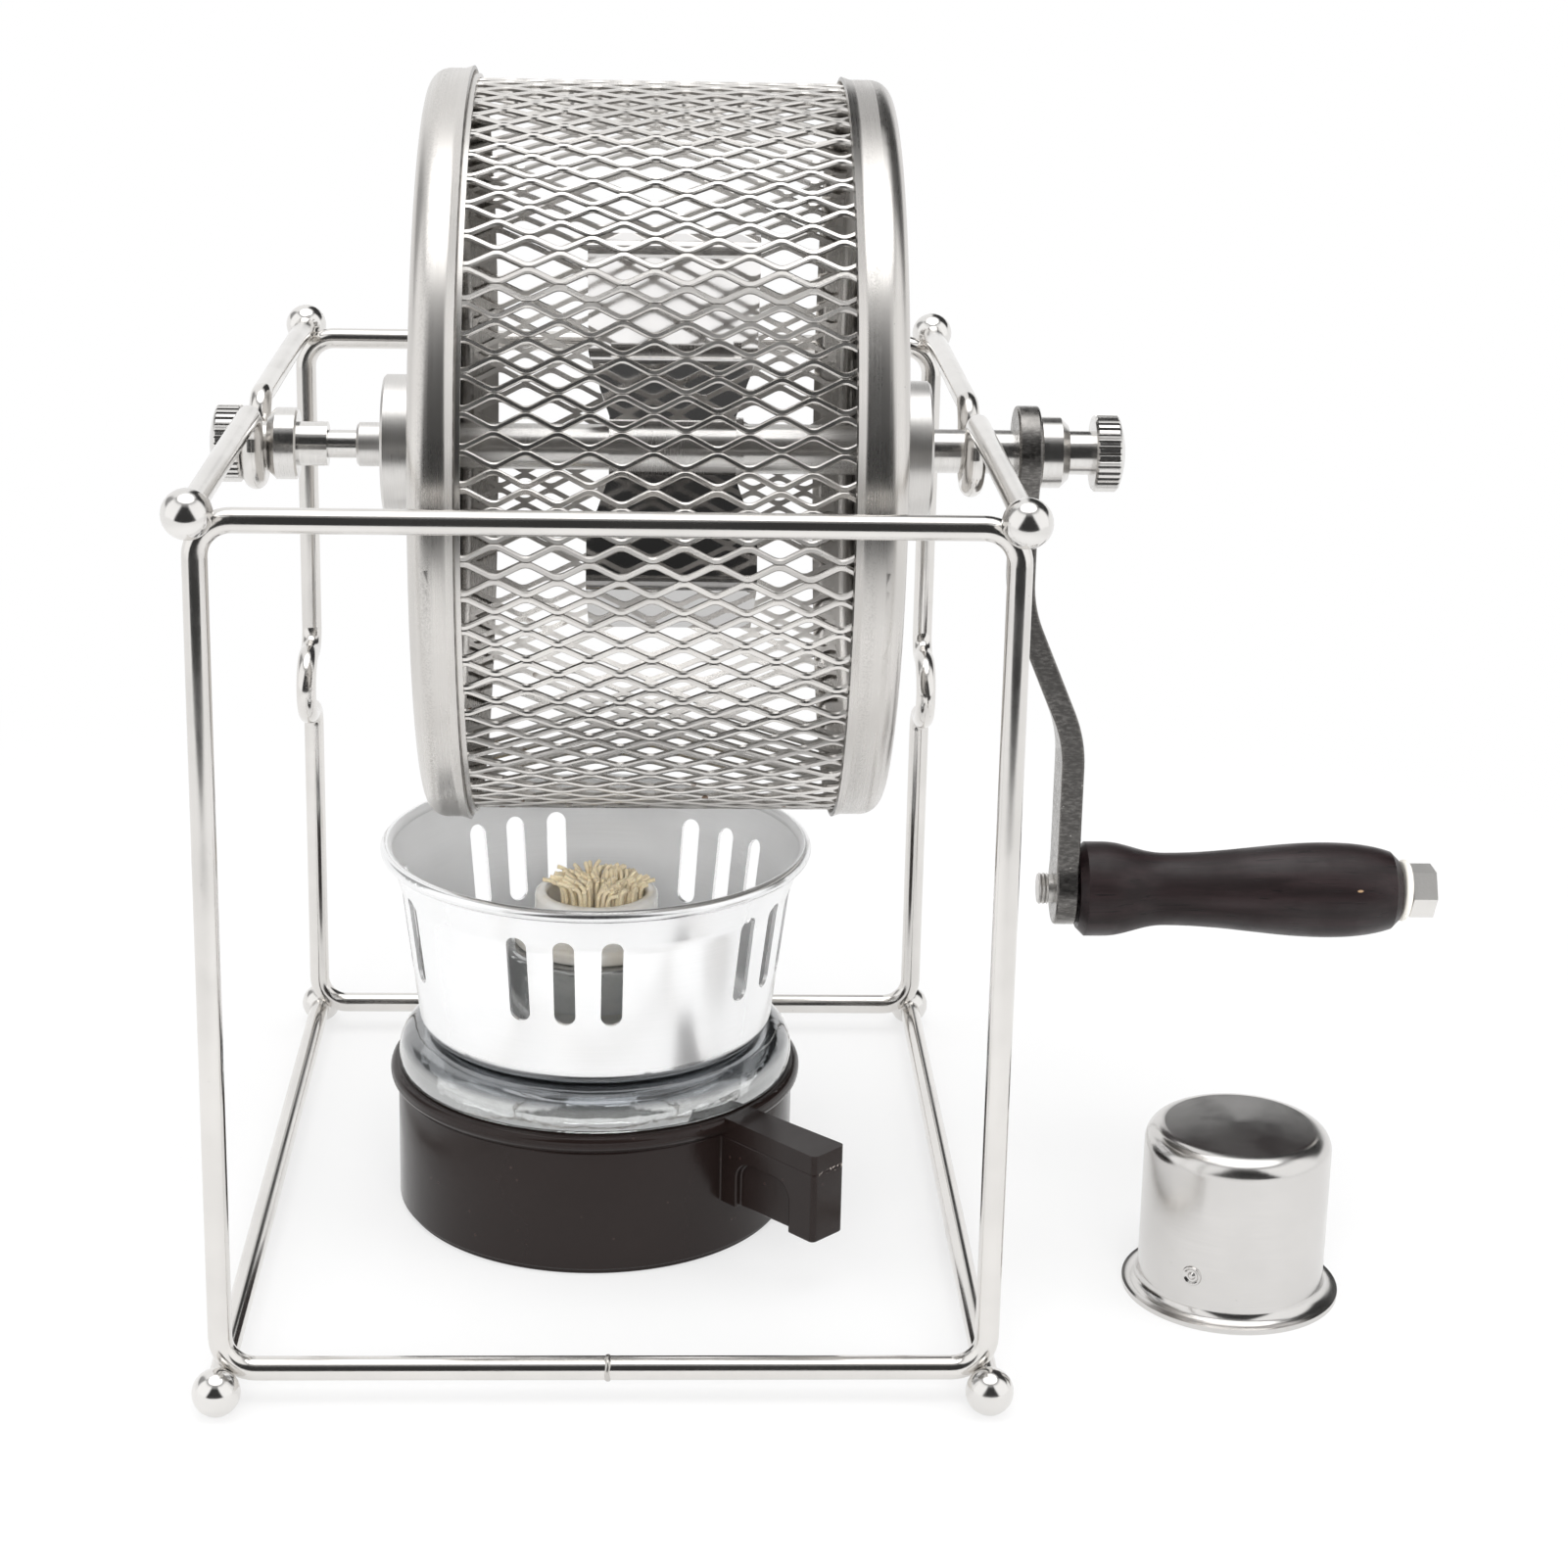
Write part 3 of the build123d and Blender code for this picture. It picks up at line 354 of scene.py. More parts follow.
class EffectShelf:
    """Builds each shared effect's node group once and places it in materials."""

    SMUDGE_SPAN: Span = (0.35, 0.68)  # noise values between which a smudge grows
    CLUSTER_SCALE = 0.37  # fineness of the clusters that specks stand in, as a share of their own
    CLUSTER_SPAN: Span = (0.5, 0.62)  # noise values between which a cluster starts

    def __init__(self) -> None:
        """Starts with no groups built."""
        self.built: dict[Effect, bpy.types.NodeTree] = {}

    def place(self, board: Board, effect: Effect, vector: Socket, **inputs: float) -> Socket:
        """Places an effect in a material.

        Args:
            board: The material's nodes.
            effect: Which effect.
            vector: Where it is read.
            **inputs: Values of its other inputs.

        Returns:
            The effect's output socket.
        """
        made = board.node("ShaderNodeGroup", node_tree=self._group(effect))
        board.feed(made.inputs["Vector"], vector)
        for name, value in inputs.items():
            made.inputs[name.capitalize()].default_value = value
        return made.outputs[0]

    def _group(self, effect: Effect) -> bpy.types.NodeTree:
        """Finds an effect's group, or builds it.

        Args:
            effect: Which effect.

        Returns:
            The group.
        """
        if effect not in self.built:
            maker = {
                Effect.TURNED_LINES: self._turned_lines,
                Effect.HANDLING: self._handling,
                Effect.SPECKS: self._specks,
                Effect.SKIN: self._skin,
            }[effect]
            self.built[effect] = maker(effect.value)
        return self.built[effect]

    @staticmethod
    def _start(
        name: str, inputs: Sequence[str], output: str
    ) -> tuple[Board, bpy.types.Node, bpy.types.Node]:
        """Starts a group.

        Args:
            name: The group's name.
            inputs: Names of its number inputs, beside the vector.
            output: Name of its output.

        Returns:
            The group's nodes, its input node and its output node.
        """
        tree = bpy.data.node_groups.new(name, "ShaderNodeTree")
        tree.interface.new_socket(name="Vector", in_out="INPUT", socket_type="NodeSocketVector")
        for label in inputs:
            tree.interface.new_socket(name=label, in_out="INPUT", socket_type="NodeSocketFloat")
        tree.interface.new_socket(name=output, in_out="OUTPUT", socket_type="NodeSocketFloat")
        board = Board(tree)
        return board, board.node("NodeGroupInput"), board.node("NodeGroupOutput")

    def _turned_lines(self, name: str) -> bpy.types.NodeTree:
        """Builds fine lines round the vector's X axis, as a lathe or a brush leaves them.

        Args:
            name: The group's name.

        Returns:
            The group.
        """
        board, given, out = self._start(name, ["Density", "Sweep"], "Lines")
        along, side, up = board.split(given.outputs["Vector"])
        radius = board.hypot(side, up)
        turn = board.math("MULTIPLY", board.math("ARCTAN2", side, up), given.outputs["Sweep"])
        place = board.node("ShaderNodeCombineXYZ")
        board.feed(place.inputs[0], board.math("MULTIPLY", along, given.outputs["Density"]))
        board.feed(place.inputs[1], board.math("MULTIPLY", radius, given.outputs["Density"]))
        board.feed(place.inputs[2], turn)
        board.feed(out.inputs[0], board.noise(place.outputs[0], 1.0, detail=3.0, roughness=0.6))
        return board.tree

    def _handling(self, name: str) -> bpy.types.NodeTree:
        """Builds soft cloudy patches, as handling and wiping leave them.

        Args:
            name: The group's name.

        Returns:
            The group.
        """
        board, given, out = self._start(name, ["Scale"], "Smudge")
        cloud = board.noise(given.outputs["Vector"], given.outputs["Scale"], detail=4.0, roughness=0.55)
        board.feed(out.inputs[0], board.remap(cloud, *self.SMUDGE_SPAN))
        return board.tree

    def _specks(self, name: str) -> bpy.types.NodeTree:
        """Builds small spots that stand in loose clusters.

        Args:
            name: The group's name.

        Returns:
            The group.
        """
        board, given, out = self._start(name, ["Scale", "Size"], "Specks")
        cells = board.node("ShaderNodeTexVoronoi")
        board.feed(cells.inputs["Vector"], given.outputs["Vector"])
        board.feed(cells.inputs["Scale"], given.outputs["Scale"])
        near = board.math("LESS_THAN", cells.outputs["Distance"], given.outputs["Size"])
        coarse = board.math("MULTIPLY", given.outputs["Scale"], self.CLUSTER_SCALE)
        cluster = board.noise(given.outputs["Vector"], coarse, detail=1.0)
        board.feed(out.inputs[0], board.math("MULTIPLY", near, board.remap(cluster, *self.CLUSTER_SPAN)))
        return board.tree

    def _skin(self, name: str) -> bpy.types.NodeTree:
        """Builds a slightly uneven surface, as on mouldings, castings and glazes.

        Args:
            name: The group's name.

        Returns:
            The group.
        """
        board, given, out = self._start(name, ["Scale"], "Height")
        board.feed(out.inputs[0], board.noise(given.outputs["Vector"], given.outputs["Scale"], detail=3.0))
        return board.tree


@dataclass
class Surface:
    """A material in the making: its nodes, its shader, its object coordinates and the shared effects."""

    board: Board
    shader: bpy.types.Node
    place: Socket
    shelf: EffectShelf

    def fill(self, name: str, value: Value) -> None:
        """Links one of the shader's inputs, or sets its plain value."""
        self.board.feed(self.shader.inputs[name], value)

    def held(self, name: str) -> Socket:
        """What one of the shader's inputs is linked to so far."""
        return self.shader.inputs[name].links[0].from_socket

    def effect(self, effect: Effect, vector: Socket | None = None, **inputs: float) -> Socket:
        """Places a shared effect, in object coordinates unless others are given."""
        return self.shelf.place(self.board, effect, vector or self.place, **inputs)


@dataclass(frozen=True)
class Finish:
    """A finish: its name, colour and roughness, and how its material is made."""

    name: str
    colour: Colour
    roughness: float

    def material(self, shelf: EffectShelf) -> bpy.types.Material:
        """Makes the finish's material.

        Args:
            shelf: The shared effects.

        Returns:
            The material.
        """
        made = bpy.data.materials.new(self.name)
        made.use_nodes = True
        board = Board(made.node_tree)
        place = board.node("ShaderNodeTexCoord").outputs["Object"]
        surface = Surface(board, made.node_tree.nodes["Principled BSDF"], place, shelf)
        surface.fill("Base Color", (*self.colour, 1.0))
        surface.fill("Roughness", self.roughness)
        self.detail(surface)
        return made

    def detail(self, surface: Surface) -> None:
        """Adds the finish's own nodes.

        Args:
            surface: The material in the making.
        """
        raise NotImplementedError

    def shade(self, share: float) -> Colour:
        """The finish's colour, made lighter or darker."""
        return tuple(min(1.0, c * share) for c in self.colour)


@dataclass(frozen=True)
class Steel(Finish):
    """Bare or plated metal, turned, brushed, drawn or polished."""

    smudge: float = 0.08
    smudge_scale: float = 55.0
    smudge_shade: float = 0.94
    lathe: Lathe | None = None
    line_density: float = 6000.0
    line_sweep: float = 1.5
    line_depth: float = 0.0
    line_shade: float = 0.05
    line_colour_span: Span = (0.3, 0.7)
    line_rough_span: Span = (0.25, 0.75)
    pits: float = 0.0
    pit_scale: float = 420.0
    pit_shade: float = 0.35
    grain: float = 0.0
    grain_depth: float = 0.02 * MM

    def detail(self, surface: Surface) -> None:
        """Adds smudges, lathe lines, grain and pits.

        Args:
            surface: The material in the making.
        """
        board = surface.board
        surface.fill("Metallic", 1.0)
        smudge = surface.effect(Effect.HANDLING, scale=self.smudge_scale)
        rough = board.remap(smudge, 0.0, 1.0, self.roughness, self.roughness + self.smudge)
        colour = board.tint(smudge, self.shade(1.0), self.shade(self.smudge_shade))
        normal = None
        if self.lathe:
            turned = board.centred(surface.place, self.lathe)
            lines = surface.effect(
                Effect.TURNED_LINES, turned, density=self.line_density, sweep=self.line_sweep
            )
            dark = self.shade(1.0 - 2 * self.line_shade)
            colour = board.tint(board.remap(lines, *self.line_colour_span), colour, dark)
            dull = board.remap(lines, *self.line_rough_span, -self.line_shade, self.line_shade)
            rough = board.math("ADD", rough, dull)
            normal = board.bump(lines, self.line_depth)
        if self.grain:
            skin = surface.effect(Effect.SKIN, scale=self.grain)
            normal = board.bump(skin, self.grain_depth, under=normal)
        if self.pits:
            pits = surface.effect(Effect.SPECKS, scale=self.pit_scale, size=self.pits)
            colour = board.tint(pits, colour, self.shade(self.pit_shade))
        surface.fill("Base Color", colour)
        surface.fill("Roughness", rough)
        if normal:
            surface.fill("Normal", normal)


@dataclass(frozen=True)
class FiredSteel(Steel):
    """Steel that turns over a flame, darkened low down by painted shade and spotted with burnt-on residue."""

    low_shade: float = 0.7
    low_shade_tone: float = 0.45
    low_shade_top: float = 107.0
    low_shade_full: float = 93.0
    residue: float = 0.16
    residue_scale: float = 240.0
    residue_top: float = 122.0
    residue_full: float = 98.0
    residue_rough: float = 0.3
    residue_colour: Colour = (0.15, 0.085, 0.045)

    def detail(self, surface: Surface) -> None:
        """Adds the plain steel, then the painted shade low down and the residue.

        Args:
            surface: The material in the making.
        """
        super().detail(surface)
        board = surface.board
        height = board.split(surface.place)[2]
        # painted shade: the steel is darkened towards the bottom of the drum
        low_shade = board.remap(height, self.low_shade_top * MM, self.low_shade_full * MM, 0.0, self.low_shade)
        colour = board.tint(low_shade, surface.held("Base Color"), self.shade(self.low_shade_tone))
        low = board.remap(height, self.residue_top * MM, self.residue_full * MM)
        spots = surface.effect(Effect.SPECKS, scale=self.residue_scale, size=self.residue)
        burnt = board.math("MULTIPLY", spots, low)
        dull = board.math("MULTIPLY", burnt, self.residue_rough)
        rough = board.math("ADD", surface.held("Roughness"), dull, clamp=True)
        surface.fill("Base Color", board.tint(burnt, colour, self.residue_colour))
        surface.fill("Roughness", rough)


@dataclass(frozen=True)
class DrawnSheet(Steel):
    """Brushed drum sheet, with a grainy ring where the roller that drew its rim ran, and painted shade on its
    inner face.
    """

    ring_x: float = 46.6
    ring_w: float = 1.7
    ring_core: float = 0.25
    ring_scale: float = 2600.0
    ring_grain: Span = (0.42, 0.66)
    ring_shade: float = 0.84
    ring_rough: float = 0.06
    inward: float = -1.0  # which way along X the inner face looks
    inside_span: Span = (0.5, 0.9)
    inside_shade: float = 0.5

    def detail(self, surface: Surface) -> None:
        """Adds the brushed lines, then the ring and the painted shade on the inner face.

        Args:
            surface: The material in the making.
        """
        super().detail(surface)
        board = surface.board
        off = board.math("SUBTRACT", board.split(surface.place)[0], self.ring_x * MM)
        near = board.remap(
            board.math("ABSOLUTE", off), self.ring_w * MM, self.ring_core * self.ring_w * MM
        )
        grain = surface.effect(Effect.SKIN, scale=self.ring_scale)
        mark = board.math("MULTIPLY", near, board.remap(grain, *self.ring_grain))
        colour = board.tint(mark, surface.held("Base Color"), self.shade(self.ring_shade))
        rough = board.math("MULTIPLY_ADD", mark, self.ring_rough, surface.held("Roughness"))
        # painted shade: the inner face of the drum's ends is darkened
        inward = board.math("MULTIPLY", board.facing()[0], self.inward)
        inside = board.remap(inward, *self.inside_span)
        surface.fill("Base Color", board.tint(inside, colour, self.shade(self.inside_shade)))
        surface.fill("Roughness", rough)


@dataclass(frozen=True)
class SpunAluminium(Steel):
    """Spun aluminium cup, bright outside and frosted inside."""

    frosted: float = 0.38
    metal_outside: float = 0.72
    metal_inside: float = 0.25
    turned_in: float = 10.0  # how far towards the axis a surface faces where it is fully the inside
    bead_r: float = 43.2
    bead_edge: float = 0.4
    foot_z: float = 43.0
    foot_edge: float = 2.0

    def detail(self, surface: Surface) -> None:
        """Adds the spun lines and grain, then frosts the inside, where the surface faces the cup's axis.

        Args:
            surface: The material in the making.
        """
        super().detail(surface)
        board = surface.board
        x, y, z = board.split(surface.place)
        x = board.math("SUBTRACT", x, Lathe.BURNER.place.x)
        y = board.math("SUBTRACT", y, Lathe.BURNER.place.y)
        facing_x, facing_y, _ = board.facing()
        outward = board.math("ADD", board.math("MULTIPLY", x, facing_x), board.math("MULTIPLY", y, facing_y))
        inside = board.remap(outward, 0.0, -self.turned_in * MM)
        bead = board.remap(
            board.hypot(x, y), (self.bead_r - self.bead_edge) * MM, (self.bead_r + self.bead_edge) * MM
        )
        foot = board.remap(z, (self.foot_z + self.foot_edge) * MM, (self.foot_z - self.foot_edge) * MM)
        frost = self.frosted - self.roughness
        surface.fill("Roughness", board.math("MULTIPLY_ADD", inside, frost, surface.held("Roughness")))
        metal = board.remap(inside, 0.0, 1.0, self.metal_outside, self.metal_inside)
        surface.fill("Metallic", board.fold("MAXIMUM", metal, bead, foot))


@dataclass(frozen=True)
class Gunmetal(Finish):
    """Dark plated iron, smooth on its rolled faces and torn on its sheared edges."""

    mottle_scale: float = 130.0
    mottle_shades: Span = (0.85, 1.15)
    skin_scale: float = 900.0
    skin_span: Span = (0.3, 0.7)
    skin_rough: Span = (-0.06, 0.08)
    speck_scale: float = 500.0
    speck_size: float = 0.1
    speck_shade: float = 1.5
    edge_span: Span = (0.6, 0.85)
    edge_rough: float = 0.12
    tear_scale: Point = (700.0, 700.0, 1900.0)
    tear_span: Span = (0.3, 0.6)
    tear_least: float = 0.35
    tear_shade: float = 0.45
    tear_depth: float = 1.6
    relief: float = 0.018

    def detail(self, surface: Surface) -> None:
        """Adds mottling, wear, the rolled skin and the torn edges.

        Args:
            surface: The material in the making.
        """
        board = surface.board
        surface.fill("Metallic", 1.0)
        mottle = surface.effect(Effect.HANDLING, scale=self.mottle_scale)
        skin = surface.effect(Effect.SKIN, scale=self.skin_scale)
        specks = surface.effect(Effect.SPECKS, scale=self.speck_scale, size=self.speck_size)
        tears = board.noise(board.stretched(surface.place, self.tear_scale), 1.0, detail=3.0, roughness=0.65)
        edge = board.remap(board.math("ABSOLUTE", board.facing()[1]), *self.edge_span)
        torn = board.math("MULTIPLY", edge, board.remap(tears, *self.tear_span, self.tear_least, 1.0))
        colour = board.tint(mottle, *(self.shade(share) for share in self.mottle_shades))
        colour = board.tint(torn, colour, self.shade(self.tear_shade))
        surface.fill("Base Color", board.tint(specks, colour, self.shade(self.speck_shade)))
        rough = board.remap(skin, *self.skin_span, *(self.roughness + change for change in self.skin_rough))
        surface.fill("Roughness", board.math("MULTIPLY_ADD", edge, self.edge_rough, rough))
        height = board.math("MULTIPLY_ADD", board.math("MULTIPLY", edge, tears), self.tear_depth, skin)
        surface.fill("Normal", board.bump(height, self.relief * MM))


@dataclass(frozen=True)
class DarkWood(Finish):
    """Turned wood, stained nearly black and lacquered, with a nick in the lacquer."""

    index: float = 1.38
    coat: Span = (0.18, 0.07)
    coat_rough: float = 0.3
    smudge: float = 0.12
    smudge_scale: float = 90.0
    grain_scale: Point = (28.0, 420.0, 420.0)
    grain_span: Span = (0.35, 0.7)
    grain_shades: Span = (0.7, 1.5)
    pore_scale: float = 3.1
    pore_span: Span = (0.62, 0.72)
    pore_shade: float = 0.4
    skin_scale: float = 1500.0
    skin_depth: float = 0.4
    relief: float = 0.03
    nick_at: Point = (155.2, -9.2, 72.6)
    nick_size: Point = (0.75, 1.6, 0.32)
    nick_colour: Colour = (0.34, 0.22, 0.125)

    def detail(self, surface: Surface) -> None:
        """Adds grain along the grip, open pores, worn lacquer and the nick.

        Args:
            surface: The material in the making.
        """
        board = surface.board
        surface.fill("Coat Roughness", self.coat_rough)
        surface.fill("IOR", self.index)
        fibres = board.stretched(surface.place, self.grain_scale)
        grain = board.noise(fibres, 1.0, detail=4.0, roughness=0.6)
        pores = board.remap(board.noise(fibres, self.pore_scale), *self.pore_span)
        smudge = surface.effect(Effect.HANDLING, scale=self.smudge_scale)
        skin = surface.effect(Effect.SKIN, scale=self.skin_scale)
        shades = [self.shade(share) for share in self.grain_shades]
        colour = board.tint(board.remap(grain, *self.grain_span), *shades)
        colour = board.tint(pores, colour, self.shade(self.pore_shade))
        bare = board.spot(surface.place, self.nick_at, self.nick_size)
        surface.fill("Base Color", board.tint(bare, colour, self.nick_colour))
        rough = board.remap(smudge, 0.0, 1.0, self.roughness, self.roughness + self.smudge)
        surface.fill("Roughness", rough)
        surface.fill("Coat Weight", board.remap(smudge, 0.0, 1.0, *self.coat))
        uneven = board.math("MULTIPLY", skin, self.skin_depth)
        height = board.math("ADD", uneven, board.math("SUBTRACT", grain, pores))
        surface.fill("Normal", board.bump(height, self.relief * MM))


@dataclass(frozen=True)
class Moulding(Finish):
    """Glossy moulded plastic, worn at one corner if it has one."""

    index: float = 1.5
    smudge: float = 0.1
    smudge_scale: float = 38.0
    smudge_shade: float = 1.12
    speck_scale: float = 310.0
    speck_size: float = 0.09
    speck_shade: float = 3.0
    skin_scale: float = 260.0
    relief: float = 0.03
    worn_at: Point | None = None
    worn_size: Point = (6.0, 6.0, 0.7)
    worn_colour: Colour = (0.5, 0.44, 0.4)
    chip_scale: float = 1300.0
    chip_span: Span = (0.52, 0.6)

    def detail(self, surface: Surface) -> None:
        """Adds flow unevenness, dust specks, wiping marks and the worn corner.

        Args:
            surface: The material in the making.
        """
        board = surface.board
        surface.fill("IOR", self.index)
        smudge = surface.effect(Effect.HANDLING, scale=self.smudge_scale)
        specks = surface.effect(Effect.SPECKS, scale=self.speck_scale, size=self.speck_size)
        skin = surface.effect(Effect.SKIN, scale=self.skin_scale)
        colour = board.tint(smudge, self.shade(1.0), self.shade(self.smudge_shade))
        colour = board.tint(specks, colour, self.shade(self.speck_shade))
        if self.worn_at:
            flakes = board.noise(surface.place, self.chip_scale, detail=3.0, roughness=0.6)
            corner = board.spot(surface.place, self.worn_at, self.worn_size)
            chips = board.math("MULTIPLY", corner, board.remap(flakes, *self.chip_span))
            colour = board.tint(chips, colour, self.worn_colour)
        surface.fill("Base Color", colour)
        rough = board.remap(smudge, 0.0, 1.0, self.roughness, self.roughness + self.smudge)
        surface.fill("Roughness", rough)
        surface.fill("Normal", board.bump(skin, self.relief * MM))


@dataclass(frozen=True)
class ClearGlass(Finish):
    """Pressed clear glass with a wavy skin, and a painted shadow and reflection on its shoulder under the
    windshield's foot.
    """

    transmission: float = 0.95
    metallic: float = 0.28
    index: float = 1.7
    coat: float = 1.0
    coat_index: float = 1.6
    shadow_z: Span = (35.2, 37.0)
    shadow_r: Span = (30.0, 33.0)
    shadow_colour: Colour = (0.2, 0.215, 0.235)
    wave_scale: float = 110.0
    relief: float = 0.35

    def detail(self, surface: Surface) -> None:
        """Makes the glass clear, and adds the painted shadow on the shoulder and the waviness.

        Args:
            surface: The material in the making.
        """
        board = surface.board
        surface.fill("Transmission Weight", self.transmission)
        surface.fill("Metallic", self.metallic)
        surface.fill("IOR", self.index)
        surface.fill("Coat Weight", self.coat)
        surface.fill("Coat IOR", self.coat_index)
        # painted shadow and reflection: the shoulder is darkened where the windshield's foot stands over it
        along, side, up = board.split(board.centred(surface.place, Lathe.BURNER))
        high = board.remap(along, *(z * MM for z in self.shadow_z))
        wide = board.remap(board.hypot(side, up), *(r * MM for r in self.shadow_r))
        painted_shadow = board.math("MULTIPLY", high, wide)
        surface.fill("Base Color", board.tint(painted_shadow, self.shade(1.0), self.shadow_colour))
        skin = surface.effect(Effect.SKIN, scale=self.wave_scale)
        surface.fill("Normal", board.bump(skin, self.relief * MM))


@dataclass(frozen=True)
class Glaze(Finish):
    """White glazed ceramic."""

    coat: float = 0.5
    cloud_scale: float = 120.0
    cloud_colour: Colour = (0.84, 0.79, 0.7)
    speck_scale: float = 260.0
    speck_size: float = 0.06
    speck_colour: Colour = (0.5, 0.42, 0.32)
    skin_scale: float = 220.0
    relief: float = 0.08

    def detail(self, surface: Surface) -> None:
        """Adds a faint warm cloud, kiln specks and the glaze's unevenness.

        Args:
            surface: The material in the making.
        """
        board = surface.board
        surface.fill("Coat Weight", self.coat)
        cloud = surface.effect(Effect.HANDLING, scale=self.cloud_scale)
        specks = surface.effect(Effect.SPECKS, scale=self.speck_scale, size=self.speck_size)
        colour = board.tint(cloud, self.shade(1.0), self.cloud_colour)
        surface.fill("Base Color", board.tint(specks, colour, self.speck_colour))
        skin = surface.effect(Effect.SKIN, scale=self.skin_scale)
        surface.fill("Normal", board.bump(skin, self.relief * MM))


@dataclass(frozen=True)
class Cotton(Finish):
    """Undyed cotton yarn, dark where fuel has soaked it."""

    sheen: float = 0.4
    glow: float = 0.12
    glow_reach: Point = (0.004, 0.003, 0.002)
    strand_scale: float = 700.0
    strand_span: Span = (0.35, 0.65)
    strand_shades: Span = (0.92, 1.08)
    fibre_scale: float = 4200.0
    fibre_span: Span = (0.36, 0.56)
    fibre_shade: float = 0.86
    fuel_z: float = 38.0
    soak: float = 3.0
    soak_shade: float = 0.12
    relief: float = 0.16

    def detail(self, surface: Surface) -> None:
        """Adds fibres, shade changes from strand to strand and a soft sheen.

        Args:
            surface: The material in the making.
        """
        board = surface.board
        surface.fill("Sheen Weight", self.sheen)
        surface.fill("Subsurface Weight", self.glow)
        surface.fill("Subsurface Radius", self.glow_reach)
        strand = board.noise(surface.place, self.strand_scale)
        fibre = board.noise(surface.place, self.fibre_scale, detail=3.0, roughness=0.7)
        shades = [self.shade(share) for share in self.strand_shades]
        colour = board.tint(board.remap(strand, *self.strand_span), *shades)
        colour = board.tint(board.remap(fibre, *self.fibre_span), self.shade(self.fibre_shade), colour)
        height = board.split(surface.place)[2]
        soaked = board.remap(height, (self.fuel_z + self.soak) * MM, self.fuel_z * MM)
        surface.fill("Base Color", board.tint(soaked, colour, self.shade(self.soak_shade)))
        surface.fill("Normal", board.bump(fibre, self.relief * MM))


class Palette:
    """The roaster's finishes as materials, each made when it is first asked for."""

    WIRE = Steel("wire_steel", (0.77, 0.75, 0.725), 0.13, smudge=0.06, pits=0.04)
    BALL = Steel("ball_steel", (0.79, 0.775, 0.755), 0.14, smudge=0.04)
    WELD = Steel("weld_steel", (0.6, 0.58, 0.55), 0.26, smudge=0.16, pits=0.1)
    CAP = DrawnSheet(
        "cap_sheet", (0.7, 0.679, 0.653), 0.27, smudge=0.04, lathe=Lathe.SHAFT, line_density=5200.0,
        line_depth=0.004 * MM, line_shade=0.035, pits=0.04,
    )
    LID = replace(CAP, name="lid_sheet", ring_x=-33.2, inward=1.0)
    MESH = FiredSteel(
        "mesh_steel", (0.77, 0.748, 0.72), 0.24, smudge=0.12, grain=2200.0, grain_depth=0.012 * MM
    )
    TURNED = Steel(
        "turned_steel", (0.78, 0.765, 0.745), 0.17, lathe=Lathe.SHAFT, line_density=9000.0,
        line_depth=0.004 * MM,
    )
    HUB = replace(TURNED, name="hub_steel", roughness=0.3)
    PADDLE = Steel("paddle_sheet", (0.9, 0.885, 0.875), 0.02, smudge=0.03)
    # painted shade: a darker copy of the paddle sheet, standing in for the dark reflection on the lower paddle
    SHADED_PADDLE = replace(PADDLE, name="low_paddle_painted_shade", colour=(0.4, 0.392, 0.385))
    ARM = Gunmetal("arm_gunmetal", (0.29, 0.279, 0.267), 0.25)
    BOLT = Steel("bolt_zinc", (0.8, 0.785, 0.76), 0.34, smudge=0.12, pits=0.08, grain=1500.0)
    NYLON = Moulding("washer_nylon", (0.86, 0.83, 0.76), 0.42)
    WOOD = DarkWood("grip_wood", (0.0135, 0.0075, 0.0082), 0.38)
    BROWN = Moulding("brown_moulding", (0.0125, 0.0076, 0.0066), 0.15, index=1.37, worn_at=WORN_AT)
    GLASS = ClearGlass("bowl_glass", (0.97, 0.985, 0.98), 0.0)
    CERAMIC = Glaze("holder_glaze", (0.92, 0.905, 0.87), 0.14)
    COTTON = Cotton("wick_cotton", (0.97, 0.82, 0.57), 0.9)
    ALUMINIUM = SpunAluminium(
        "shield_aluminium", (0.93, 0.933, 0.937), 0.2, lathe=Lathe.BURNER, line_density=3500.0,
        line_depth=0.002 * MM, line_shade=0.015, smudge=0.04, grain=5200.0, grain_depth=0.004 * MM,
    )
    SNUFFER = Steel(
        "snuffer_chrome", (0.69, 0.675, 0.66), 0.15, lathe=Lathe.SNUFFER, line_density=7000.0,
        line_depth=0.002 * MM, line_shade=0.02, pits=0.04, grain=4800.0, grain_depth=0.004 * MM,
    )

    def __init__(self) -> None:
        """Starts with no materials made."""
        self.shelf = EffectShelf()
        self.made: dict[str, bpy.types.Material] = {}

    def get(self, finish: Finish) -> bpy.types.Material:
        """Finds a finish's material, or makes it.

        Args:
            finish: The finish.

        Returns:
            Its material.
        """
        if finish.name not in self.made:
            self.made[finish.name] = finish.material(self.shelf)
        return self.made[finish.name]


